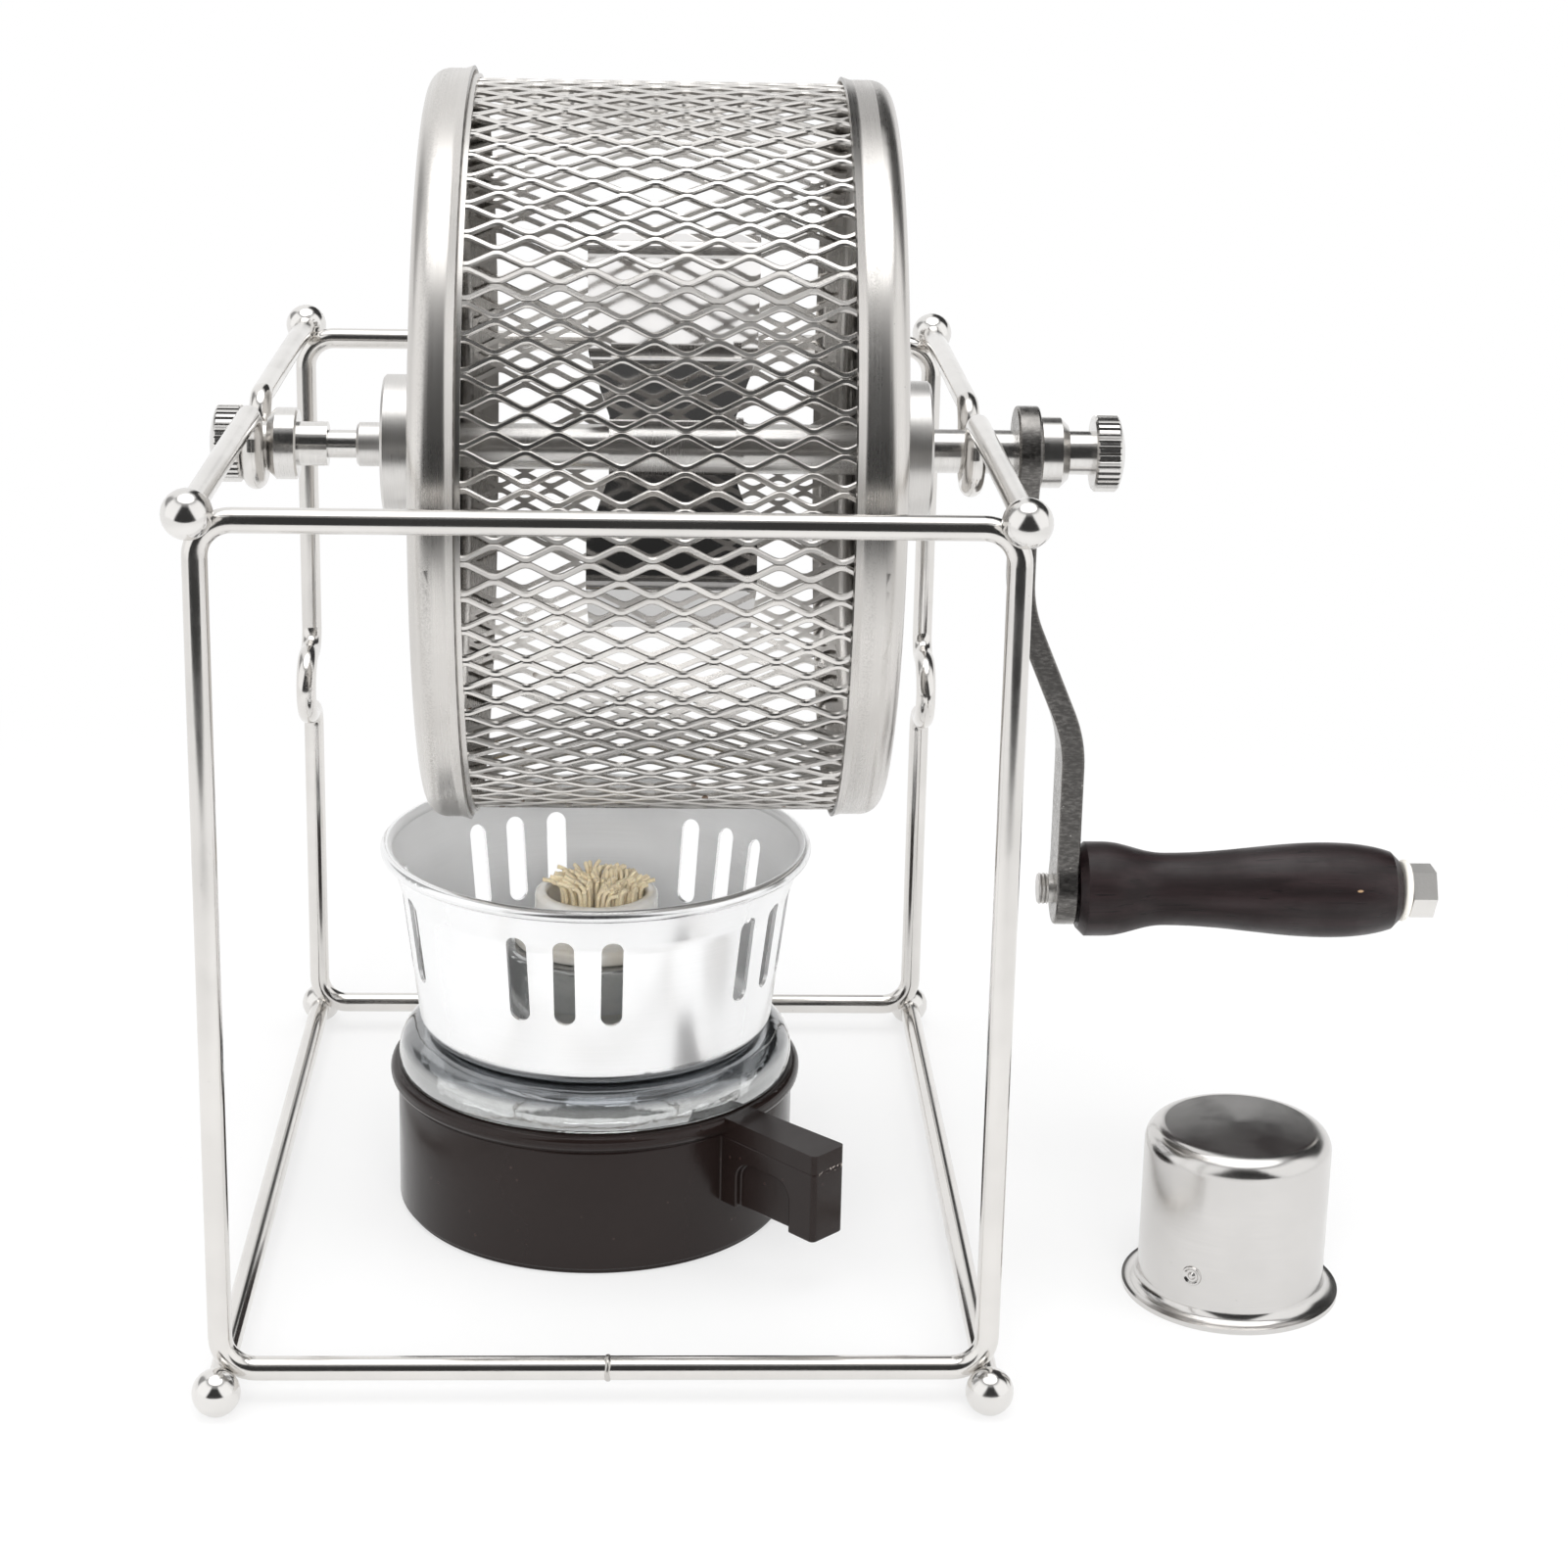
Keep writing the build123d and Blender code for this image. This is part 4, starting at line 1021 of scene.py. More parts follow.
class Workshop:
    """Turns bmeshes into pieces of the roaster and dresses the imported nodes."""

    CREASE = 38.0  # degrees past which an edge stays sharp, or is rounded
    SOFT_CREASE = 30.0  # the same on a copied node, before its edges are rounded
    MERGE = 0.002 * MM  # points of a copied node that lie closer are one
    FLAT = 0.6  # degrees under which two faces of a copied node are one
    ROUNDING_STEPS = 3

    def __init__(self, frame: dict[str, object]) -> None:
        """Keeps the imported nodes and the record's material slots.
        """
        self.nodes: dict[str, bpy.types.Object] = frame["nodes"]
        self.slots = {part["node"]: part["material_slot"] for part in frame["record"]["subparts"]}
        self.palette = Palette()

    def piece(
        self, name: str, shape: bmesh.types.BMesh, body: Body, finish: Finish, slot: str,
        stands_for: Sequence[str] = (), crease: float = CREASE,
    ) -> bpy.types.Object:
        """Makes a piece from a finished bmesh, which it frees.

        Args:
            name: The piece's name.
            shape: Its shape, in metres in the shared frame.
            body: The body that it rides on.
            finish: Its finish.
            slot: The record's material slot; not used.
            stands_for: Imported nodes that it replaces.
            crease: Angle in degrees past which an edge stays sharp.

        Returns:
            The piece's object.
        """
        limit = math.radians(crease)
        shape.normal_update()
        for face in shape.faces:
            face.smooth = True
        for edge in shape.edges:
            edge.smooth = edge.calc_face_angle(0.0) < limit
        mesh = bpy.data.meshes.new(name)
        shape.to_mesh(mesh)
        shape.free()
        made = bpy.data.objects.new(name, mesh)
        bpy.context.scene.collection.objects.link(made)
        mesh.materials.append(self.palette.get(finish))
        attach(made, body.value)
        if stands_for:
            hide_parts(*stands_for)
        LOG.info("%s rides on %s, %d faces", name, body.value, len(mesh.polygons))
        return made

    def dress(self, finish: Finish, *nodes: str) -> None:
        """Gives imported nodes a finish.

        Args:
            finish: The finish.
            *nodes: Names of the nodes.
        """
        for node in nodes:
            piece = self.nodes[node]
            if not piece.material_slots:
                piece.data.materials.append(None)
            for held in piece.material_slots:
                held.material = self.palette.get(finish)
            LOG.info("%s dressed in %s", node, finish.name)

    def soften(self, node: str, name: str, body: Body, finish: Finish, edge: float) -> bpy.types.Object:
        """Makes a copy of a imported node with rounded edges, which replaces it.

        Args:
            node: The node's name.
            name: The new piece's name.
            body: The body that it rides on.
            finish: Its finish.
            edge: Width of the rounding, in millimetres.

        Returns:
            The new piece.
        """
        shape = bmesh.new()
        shape.from_mesh(self.nodes[node].data)
        bmesh.ops.remove_doubles(shape, verts=shape.verts, dist=self.MERGE)
        bmesh.ops.dissolve_limit(
            shape, angle_limit=math.radians(self.FLAT), verts=shape.verts, edges=shape.edges,
            use_dissolve_boundaries=False,
        )
        made = self.piece(name, shape, body, finish, self.slots[node], [node], crease=self.SOFT_CREASE)
        rounding = made.modifiers.new("edge_rounding", "BEVEL")
        rounding.width = edge * MM
        rounding.segments = self.ROUNDING_STEPS
        rounding.limit_method = "ANGLE"
        rounding.angle_limit = math.radians(self.CREASE)
        rounding.use_clamp_overlap = True
        return made


def line_of(shape: bmesh.types.BMesh, points: Section, lathe: Lathe, closed: bool) -> None:
    """Draws a section beside a lathe axis and rounds its corners.

    Args:
        shape: The bmesh to draw in.
        points: Places along the axis, out from it, and the rounding of the corner there, in millimetres.
        lathe: The axis.
        closed: Whether the last point joins the first.
    """
    run = lathe.run
    out = Vector((0.0, 0.0, 1.0)) if run.x else Vector((1.0, 0.0, 0.0))
    corners = [
        shape.verts.new(lathe.place + run * along * MM + out * radius * MM) for along, radius, _ in points
    ]
    pairs = list(zip(corners, corners[1:]))
    if closed:
        pairs.append((corners[-1], corners[0]))
    for pair in pairs:
        shape.edges.new(pair)
    for corner, (_, _, rounding) in zip(corners, points):
        if not rounding:
            continue
        ends = [edge.other_vert(corner).co - corner.co for edge in corner.link_edges]
        half = ends[0].angle(ends[1]) / 2
        bmesh.ops.bevel(
            shape, geom=[corner], offset=rounding * MM / math.tan(half), offset_type="OFFSET",
            segments=CORNER_STEPS, profile=0.5, affect="VERTICES", material=-1,
        )


def spun(points: Section, lathe: Lathe, steps: int = 96, closed: bool = True) -> bmesh.types.BMesh:
    """Spins a section round a lathe axis.

    Args:
        points: Places along the axis, out from it, and the rounding of the corner there, in millimetres.
        lathe: The axis.
        steps: Number of steps in the turn.
        closed: Whether the section is a closed line.

    Returns:
        The spun shape.
    """
    shape = bmesh.new()
    line_of(shape, points, lathe, closed)
    bmesh.ops.spin(
        shape, geom=shape.verts[:] + shape.edges[:], cent=lathe.place, axis=lathe.run, angle=FULL_TURN,
        steps=steps, use_merge=True,
    )
    bmesh.ops.remove_doubles(shape, verts=shape.verts, dist=SEAM)
    bmesh.ops.recalc_face_normals(shape, faces=shape.faces)
    return shape


@dataclass
class WireStand:
    """The welded wire stand with its ball ends."""

    wire_r: float = 2.25
    loop_y: float = 89.4
    bar_bottom: float = 6.67
    butt_x: float = 0.4
    butt_length: float = 2.4
    butt_swell: float = 0.28
    butt_lump: float = 0.12
    corner_x: float = 70.3
    corner_low: float = 6.6
    corner_high: float = 168.3
    corner_size: Point = (1.15, 1.9, 1.15)
    corner_lump: float = 0.18
    lump_fineness: float = 2600.0
    lump_waves: int = 4

    def build(self, shop: Workshop) -> None:
        """Dresses the wires and balls, and adds the welds.

        Args:
            shop: Where pieces are made.
        """
        shop.dress(
            Palette.WIRE, "front_loop", "rear_loop", "left_top_rail", "right_top_rail", "left_bottom_rail",
            "right_bottom_rail",
        )
        shop.dress(Palette.BALL, "top_ball_ends", "ball_feet")
        shop.piece("loop_butt_welds", self._butt_welds(), Body.STAND, Palette.WELD, "wire")
        shop.piece("corner_welds", self._corner_welds(), Body.STAND, Palette.WELD, "wire")

    def _butt_welds(self) -> bmesh.types.BMesh:
        """Makes lumpy beads where each loop's ends meet in the middle of its bottom bar.

        Returns:
            Both beads.
        """
        shape = bmesh.new()
        bead_r = self.wire_r + self.butt_swell
        upright = Matrix.Rotation(math.pi / 2, 3, "Y")
        for side in (-1, 1):
            made = bmesh.ops.create_uvsphere(shape, u_segments=24, v_segments=14, radius=1.0)["verts"]
            bmesh.ops.rotate(shape, verts=made, cent=(0, 0, 0), matrix=upright)
            bmesh.ops.scale(shape, verts=made, vec=Vector((self.butt_length / 2, bead_r, bead_r)) * MM)
            self._roughen(made, self.butt_lump, seed=side + 5)
            place = Vector((self.butt_x, side * self.loop_y, self.bar_bottom))
            bmesh.ops.translate(shape, verts=made, vec=place * MM)
        return shape

    def _corner_welds(self) -> bmesh.types.BMesh:
        """Makes small beads in the crevices between the loops' bends and the rails.

        Returns:
            All eight beads.
        """
        shape = bmesh.new()
        for x in (-1, 1):
            for y in (-1, 1):
                for level, up in ((self.corner_low, 1), (self.corner_high, -1)):
                    made = bmesh.ops.create_icosphere(shape, subdivisions=3, radius=1.0 * MM)["verts"]
                    bmesh.ops.scale(shape, verts=made, vec=self.corner_size)
                    self._roughen(made, self.corner_lump, seed=9 + 4 * x + 2 * y + up)
                    place = Vector((x * self.corner_x, y * self.loop_y, level))
                    bmesh.ops.translate(shape, verts=made, vec=place * MM)
        return shape

    def _roughen(self, verts: Sequence[bmesh.types.BMVert], amount: float, seed: int) -> None:
        """Moves points a little, so that a bead looks melted.

        Args:
            verts: The bead's points.
            amount: Largest move, in millimetres.
            seed: Seed of the random moves.
        """
        chance = random.Random(seed)
        waves = [
            Vector((chance.uniform(-1, 1), chance.uniform(-1, 1), chance.uniform(-1, 1))) * self.lump_fineness
            for _ in range(self.lump_waves)
        ]
        for vert in verts:
            swell = sum(math.sin(wave.dot(vert.co)) for wave in waves) / len(waves)
            vert.co += vert.co.normalized() * swell * amount * MM


@dataclass
class Drum:
    """The mesh drum with its ends, shaft and stirring paddle."""

    mesh_r: float = 72.2
    mesh_left: float = -32.4
    mesh_right: float = 49.2
    rows: int = 67
    long_way: float = 11.33
    joint_x: float = -3.86
    joint_overlap: float = 0.42
    turn: float = 3.4
    strand_w: float = 1.24
    strand_t: float = 0.78
    strand_edge: float = 0.28
    strand_tilt: float = 2.0
    wave: tuple[Span, ...] = (  # shares along half a wave, and shares of the swing there
        (0.0, 1.0), (0.085, 0.965), (0.19, 0.78), (0.5, 0.0), (0.81, -0.78), (0.915, -0.965),
    )
    crease: float = 33.0

    def build(self, shop: Workshop) -> None:
        """Dresses the drum's nodes and builds its expanded-metal wall.

        Args:
            shop: Where pieces are made.
        """
        shop.dress(Palette.LID, "left_end_cap")
        shop.dress(Palette.CAP, "right_end_cap", "left_drum_band")
        shop.dress(Palette.HUB, "left_hub", "right_hub")
        shop.dress(
            Palette.TURNED, "drive_shaft", "shaft_ring", "paddle_sleeve", "left_thumb_nut", "right_thumb_nut"
        )
        shop.dress(Palette.PADDLE, "upper_paddle")
        shop.dress(Palette.SHADED_PADDLE, "lower_paddle")
        shop.piece(
            "expanded_wall", self._wall(), Body.DRUM, Palette.MESH, "mesh", ["drum_mesh"], crease=self.crease
        )

    def _wall(self) -> bmesh.types.BMesh:
        """Lays two wavy strands side by side and repeats them round the drum.

        Returns:
            The wall's shape.
        """
        shape = bmesh.new()
        pitch = FULL_TURN / self.rows
        for sign in (1, -1):
            made = self._strand(shape, sign)
            turn = Matrix.Rotation(math.radians(self.turn) + sign * pitch / 4, 3, "X")
            bmesh.ops.rotate(shape, verts=made, cent=Lathe.SHAFT.place, matrix=turn)
        bmesh.ops.spin(
            shape, geom=shape.verts[:] + shape.edges[:] + shape.faces[:], cent=Lathe.SHAFT.place,
            axis=Lathe.SHAFT.run, angle=FULL_TURN - pitch, steps=self.rows - 1, use_duplicate=True,
        )
        bmesh.ops.recalc_face_normals(shape, faces=shape.faces)
        return shape

    def _path(self, sign: int) -> list[Span]:
        """Places of a strand's bends.

        Args:
            sign: Which way its first wave leans.

        Returns:
            Places along the drum and aside of its top line, in millimetres.
        """
        half_wave = self.long_way / 2
        half_row = math.pi * self.mesh_r / self.rows
        swing = half_row / 2 - self.joint_overlap * self.strand_w
        first = math.floor((self.mesh_left - self.joint_x) / half_wave)
        last = math.ceil((self.mesh_right - self.joint_x) / half_wave)
        path: list[Span] = []
        for count in range(first, last + 1):
            flip = sign * (-1) ** count
            for share, lean in self.wave:
                x = self.joint_x + (count + share) * half_wave
                if self.mesh_left <= x <= self.mesh_right:
                    path.append((x, flip * lean * swing))
        return path

    def _strand(self, shape: bmesh.types.BMesh, sign: int) -> list[bmesh.types.BMVert]:
        """Draws one wavy strand along the top of the drum.

        Args:
            shape: The bmesh to build in.
            sign: Which way its first wave leans.

        Returns:
            The strand's points.
        """
        path = self._path(sign)
        before = set(shape.verts)
        w, t, c = self.strand_w / 2, self.strand_t / 2, self.strand_edge
        tilt = Matrix.Rotation(math.radians(self.strand_tilt), 3, "X")
        ring = ((-w, t - c), (-w + c, t), (w - c, t), (w, t - c), (w, -t), (-w, -t))
        start = Vector((path[0][0], path[0][1], AXIS_Z + self.mesh_r - self.strand_t / 2))
        face = shape.faces.new([shape.verts.new((start + tilt @ Vector((0, y, z))) * MM) for y, z in ring])
        for count, ((x0, y0), (x1, y1)) in enumerate(zip(path, path[1:])):
            grown = bmesh.ops.extrude_face_region(shape, geom=[face])["geom"]
            if count:  # only the first face stays, as the strand's end
                bmesh.ops.delete(shape, geom=[face], context="FACES_ONLY")
            face = next(g for g in grown if isinstance(g, bmesh.types.BMFace))
            moved = [g for g in grown if isinstance(g, bmesh.types.BMVert)]
            bmesh.ops.translate(shape, verts=moved, vec=Vector((x1 - x0, y1 - y0, 0)) * MM)
        return [vert for vert in shape.verts if vert not in before]


@dataclass
class Crank:
    """The crank arm with its turning wooden grip."""

    arm_edge: float = 0.7
    stub_start: float = 88.9
    stub_end: float = 92.1
    bolt_r: float = 3.0
    thread_pitch: float = 0.8
    thread_bed: float = 0.6
    thread_root: float = 0.02
    thread_root_w: float = 0.1
    thread_crest: float = 0.3
    washer_x: float = 166.35
    washer_r: float = 6.5
    washer_hole_r: float = 3.3
    washer_t: float = 1.5
    washer_edge: float = 0.45
    washer_hole_edge: float = 0.3
    washer_lean: float = 3.4
    washer_turn: float = 1.5

    def build(self, shop: Workshop) -> None:
        """Dresses the grip and bolt, rounds the arm, and adds the thread and the loose washer.

        Args:
            shop: Where pieces are made.
        """
        shop.soften("crank_arm", "crank_arm_forged", Body.DRUM, Palette.ARM, self.arm_edge)
        shop.dress(Palette.WOOD, "crank_grip")
        shop.dress(Palette.BOLT, "grip_bolt")
        shop.piece("bolt_thread", self._thread(), Body.DRUM, Palette.BOLT, "bolt")
        shop.piece("loose_washer", self._washer(), Body.DRUM, Palette.NYLON, "nylon", ["grip_washer"])

    def _thread(self) -> bmesh.types.BMesh:
        """Makes the thread crests on the bolt's end inside the arm.

        Returns:
            The crests' shape.
        """
        turns = int((self.stub_end - self.stub_start) / self.thread_pitch)
        bed_r = self.bolt_r - self.thread_bed
        section = [(self.stub_start, bed_r, 0.0)]
        for turn in range(turns):
            at = self.stub_start + turn * self.thread_pitch
            section.append((at + self.thread_root_w, self.bolt_r + self.thread_root, 0.0))
            section.append((at + self.thread_pitch / 2, self.bolt_r + self.thread_crest, 0.0))
        section.append((self.stub_start + turns * self.thread_pitch, bed_r, 0.0))
        return spun(section, Lathe.GRIP, steps=40)

    def _washer(self) -> bmesh.types.BMesh:
        """Makes a soft-edged washer that leans on the bolt.

        Returns:
            The washer's shape.
        """
        left = self.washer_x - self.washer_t / 2
        right = self.washer_x + self.washer_t / 2
        edge = self.washer_edge * self.washer_t
        section = [
            (left, self.washer_hole_r, self.washer_hole_edge),
            (left, self.washer_r, edge),
            (right, self.washer_r, edge),
            (right, self.washer_hole_r, self.washer_hole_edge),
        ]
        shape = spun(section, Lathe.GRIP, steps=64)
        middle = Lathe.GRIP.place + Vector((self.washer_x, 0, 0)) * MM
        lean = Matrix.Rotation(math.radians(self.washer_lean), 3, "Y")
        turn = Matrix.Rotation(math.radians(self.washer_turn), 3, "Z")
        bmesh.ops.rotate(shape, verts=shape.verts, cent=middle, matrix=lean @ turn)
        return shape


@dataclass
class GlassBowl:
    """The burner's pressed glass bowl with its neck."""

    low_r: float = 39.0
    brim_r: float = 41.4
    bottom: float = 3.5
    wall: float = 2.6
    step_z: float = 31.0
    top: float = 38.8
    neck_r: float = 19.5
    bore_r: float = 15.5
    neck_top: float = 57.0
    foot_round: float = 5.5
    step_round: float = 0.6
    brim_round: float = 0.8
    shoulder_round: float = 5.1
    neck_round: float = 2.0
    lip_round: float = 1.2
    bore_round: float = 1.0
    throat_round: float = 1.5
    ceiling_round: float = 3.0
    floor_round: float = 3.4

    def shape(self) -> bmesh.types.BMesh:
        """Spins the outside up to the neck's lip, then the inside down again.

        Returns:
            The bowl's shape.
        """
        inside_r = self.low_r - self.wall
        ceiling = self.top - self.wall
        floor = self.bottom + self.wall
        section = [
            (self.bottom, 0.0, 0.0),
            (self.bottom, self.low_r, self.foot_round),
            (self.step_z, self.low_r, self.step_round),
            (self.step_z, self.brim_r, self.brim_round),
            (self.top, self.brim_r, self.shoulder_round),
            (self.top, self.neck_r, self.neck_round),
            (self.neck_top, self.neck_r, self.lip_round),
            (self.neck_top, self.bore_r, self.bore_round),
            (ceiling, self.bore_r, self.throat_round),
            (ceiling, inside_r, self.ceiling_round),
            (floor, inside_r, self.floor_round),
            (floor, 0.0, 0.0),
        ]
        return spun(section, Lathe.BURNER, steps=128, closed=False)


@dataclass
class CeramicHolder:
    """The wick's ceramic holder: a plug in the bowl's neck, a flange on its lip and a tube."""

    neck_top: float
    neck_bore_r: float
    tube_r: float = 12.9
    bore_r: float = 10.2
    flange_r: float = 17.2
    flange_t: float = 3.0
    top: float = 68.0
    plug_depth: float = 11.0
    plug_gap: float = 0.3
    plug_bore_round: float = 0.5
    plug_round: float = 0.8
    flange_low_round: float = 1.0
    flange_top_round: float = 1.3
    tube_foot_round: float = 1.2
    lip_round: float = 1.1
    lip_bore_round: float = 0.9

    def shape(self) -> bmesh.types.BMesh:
        """Spins the plug, flange and tube, with rounded lips.

        Returns:
            The holder's shape.
        """
        plug_bottom = self.neck_top - self.plug_depth
        plug_r = self.neck_bore_r - self.plug_gap
        flange_top = self.neck_top + self.flange_t
        section = [
            (plug_bottom, self.bore_r, self.plug_bore_round),
            (plug_bottom, plug_r, self.plug_round),
            (self.neck_top, plug_r, 0.0),
            (self.neck_top, self.flange_r, self.flange_low_round),
            (flange_top, self.flange_r, self.flange_top_round),
            (flange_top, self.tube_r, self.tube_foot_round),
            (self.top, self.tube_r, self.lip_round),
            (self.top, self.bore_r, self.lip_bore_round),
        ]
        return spun(section, Lathe.BURNER, steps=96)


@dataclass
class CottonWick:
    """The wick: a core that reaches into the fuel, and yarn ends that fan out of the holder."""

    holder_top: float
    core_r: float = 9.4
    core_bottom: float = 7.6
    core_sunk: float = 7.0
    core_round: float = 1.0
    strand_count: int = 170
    strand_r: float = 0.46
    bundle_r: float = 8.3
    bundle_x: float = 1.2
    seed: int = 7
    turn_play: float = 0.15
    tall: Span = (2.2, 3.8)
    rim_drop: float = 0.9
    right_drop: float = 0.7
    clumps: int = 3
    clump_pull: float = 0.9
    comb_play: float = 0.3
    reach_least: float = 0.7
    reach_more: float = 2.1
    reach_play: Span = (0.6, 1.2)
    reach_left: float = 1.2
    front_lean: float = -0.15
    roots: Span = (-9.0, -2.0)
    bends: tuple[Span, ...] = ((0.1, 0.4), (0.45, 0.85), (1.0, 1.0))  # shares of the reach and the height

    def shape(self) -> bmesh.types.BMesh:
        """Spins the core and adds the yarn.

        Returns:
            The wick's shape.
        """
        core_top = self.holder_top - self.core_sunk
        section = [
            (self.core_bottom, 0.0, 0.0),
            (self.core_bottom, self.core_r, self.core_round),
            (core_top, self.core_r, self.core_round),
            (core_top, 0.0, 0.0),
        ]
        lines = bpy.data.objects.new("yarn_lines", self._lines())
        yarn = bpy.data.meshes.new_from_object(lines)
        shape = spun(section, Lathe.BURNER, steps=48, closed=False)
        shape.from_mesh(yarn)
        bpy.data.objects.remove(lines)
        bpy.data.meshes.remove(yarn)
        return shape

    def _lines(self) -> bpy.types.Curve:
        """Draws a round line for every strand.

        Returns:
            The curves.
        """
        lines = bpy.data.curves.new("yarn_lines", "CURVE")
        lines.dimensions = "3D"
        lines.bevel_depth = self.strand_r * MM
        lines.bevel_resolution = 1
        lines.resolution_u = 3
        lines.use_fill_caps = True
        chance = random.Random(self.seed)
        for count in range(self.strand_count):
            points = self._strand(count, chance)
            spline = lines.splines.new("NURBS")
            spline.points.add(len(points) - 1)
            for point, at in zip(spline.points, points):
                point.co = (*(at * MM), 1.0)
            spline.order_u = 3
            spline.use_endpoint_u = True
        return lines

    def _strand(self, count: int, chance: random.Random) -> list[Vector]:
        """Lays out one strand, whose root is its place in a sunflower pattern.

        Args:
            count: The strand's number, from the middle outwards.
            chance: Source of the random play.

        Returns:
            The strand's points, from its root to its end, in millimetres.
        """
        golden = math.pi * (3 - math.sqrt(5))
        share = math.sqrt((count + 0.5) / self.strand_count)
        turn = count * golden + chance.uniform(-self.turn_play, self.turn_play)
        out = Vector((math.cos(turn), math.sin(turn), 0))
        height = chance.uniform(*self.tall) - self.rim_drop * share - self.right_drop * out.x * share
        comb = turn + self.clump_pull * math.sin(self.clumps * turn)
        comb += chance.uniform(-self.comb_play, self.comb_play)
        reach = (self.reach_least + self.reach_more * share) * chance.uniform(*self.reach_play)
        reach += self.reach_left * share * max(0.0, -out.x)
        lean = Vector((math.cos(comb), max(self.front_lean, math.sin(comb)), 0)) * reach
        root = Vector((BURNER_AT[0] + self.bundle_x, BURNER_AT[1], self.holder_top))
        root += out * self.bundle_r * share
        points = [root + Vector((0, 0, level)) for level in self.roots]
        points += [root + away * lean + Vector((0, 0, up * height)) for away, up in self.bends]
        return points


@dataclass
class Burner:
    """The alcohol burner: moulded base, glass bowl, ceramic holder, cotton wick and windshield."""

    cup_edge: float = 0.8
    collar_edge: float = 0.7
    yarn_crease: float = 80.0

    def build(self, shop: Workshop) -> None:
        """Builds and dresses the burner.

        Args:
            shop: Where pieces are made.
        """
        bowl = GlassBowl()
        holder = CeramicHolder(bowl.neck_top, bowl.bore_r)
        wick = CottonWick(holder.top)
        shop.soften("burner_cup", "burner_cup_moulded", Body.BURNER, Palette.BROWN, self.cup_edge)
        shop.soften("burner_collar", "burner_collar_moulded", Body.BURNER, Palette.BROWN, self.collar_edge)
        shop.piece("glass_bowl", bowl.shape(), Body.BURNER, Palette.GLASS, "glass", ["fuel_bowl"])
        shop.piece("ceramic_holder", holder.shape(), Body.BURNER, Palette.CERAMIC, "ceramic", ["wick_holder"])
        shop.piece(
            "cotton_strands", wick.shape(), Body.BURNER, Palette.COTTON, "cotton", ["wick"],
            crease=self.yarn_crease,
        )
        shop.dress(Palette.ALUMINIUM, "windshield")


@dataclass
class SnufferCap:
    """The chromed cap that puts out the flame, with pips pressed into its wall."""

    wall_r: float = 18.6
    pip_turns: tuple[float, ...] = (-125.0, 6.0, 120.5)
    pip_z: float = 9.6
    pip_r: float = 2.2
    pip_section: Section = (  # height over the wall, share of the pip's radius, and the corner's rounding
        (0.5, 0.0, 0.0),
        (0.5, 0.2, 0.2),
        (0.0, 0.38, 0.12),
        (-0.02, 0.54, 0.12),
        (0.42, 0.74, 0.16),
        (0.42, 0.88, 0.14),
        (-0.5, 1.0, 0.0),
    )

    def build(self, shop: Workshop) -> None:
        """Dresses the cap and adds its pips.

        Args:
            shop: Where pieces are made.
        """
        shop.dress(Palette.SNUFFER, "snuffer_cap")
        for count, turn in enumerate(self.pip_turns, start=1):
            shop.piece(
                f"pressed_pip_{count}", self._pip(turn), Body.SNUFFER, Palette.SNUFFER,
                shop.slots["snuffer_cap"],
            )

    def _pip(self, turn: float) -> bmesh.types.BMesh:
        """Makes a raised ring round a small knob, bedded in the cap's wall.

        Args:
            turn: Where it is round the cap, in degrees.

        Returns:
            The pip's shape.
        """
        section = [(high, share * self.pip_r, rounding) for high, share, rounding in self.pip_section]
        shape = spun(section, Lathe.SNUFFER, steps=40, closed=False)
        out = Vector((math.cos(math.radians(turn)), math.sin(math.radians(turn)), 0.0))
        lean = out.to_track_quat("Z", "Y").to_matrix()
        place = out * self.wall_r + Vector((0, 0, self.pip_z))
        bmesh.ops.rotate(shape, verts=shape.verts, cent=Lathe.SNUFFER.place, matrix=lean)
        bmesh.ops.translate(shape, verts=shape.verts, vec=place * MM)
        return shape


@dataclass(frozen=True)
class Softbox:
    """A soft lamp: where it hangs, what it points at, its width and height, and its power in watts."""

    name: str
    place: Point
    target: Point
    size: Span
    power: float

    def hang(self) -> None:
        """Hangs the lamp, whose mirror image is left to the world's own."""
        data = bpy.data.lights.new(self.name, "AREA")
        data.shape = "RECTANGLE"
        data.size, data.size_y = self.size
        data.energy = self.power
        lamp = bpy.data.objects.new(self.name, data)
        bpy.context.scene.collection.objects.link(lamp)
        lamp.visible_glossy = False
        lamp.location = self.place
        lamp.rotation_euler = (Vector(self.target) - Vector(self.place)).to_track_quat("-Z", "Y").to_euler()


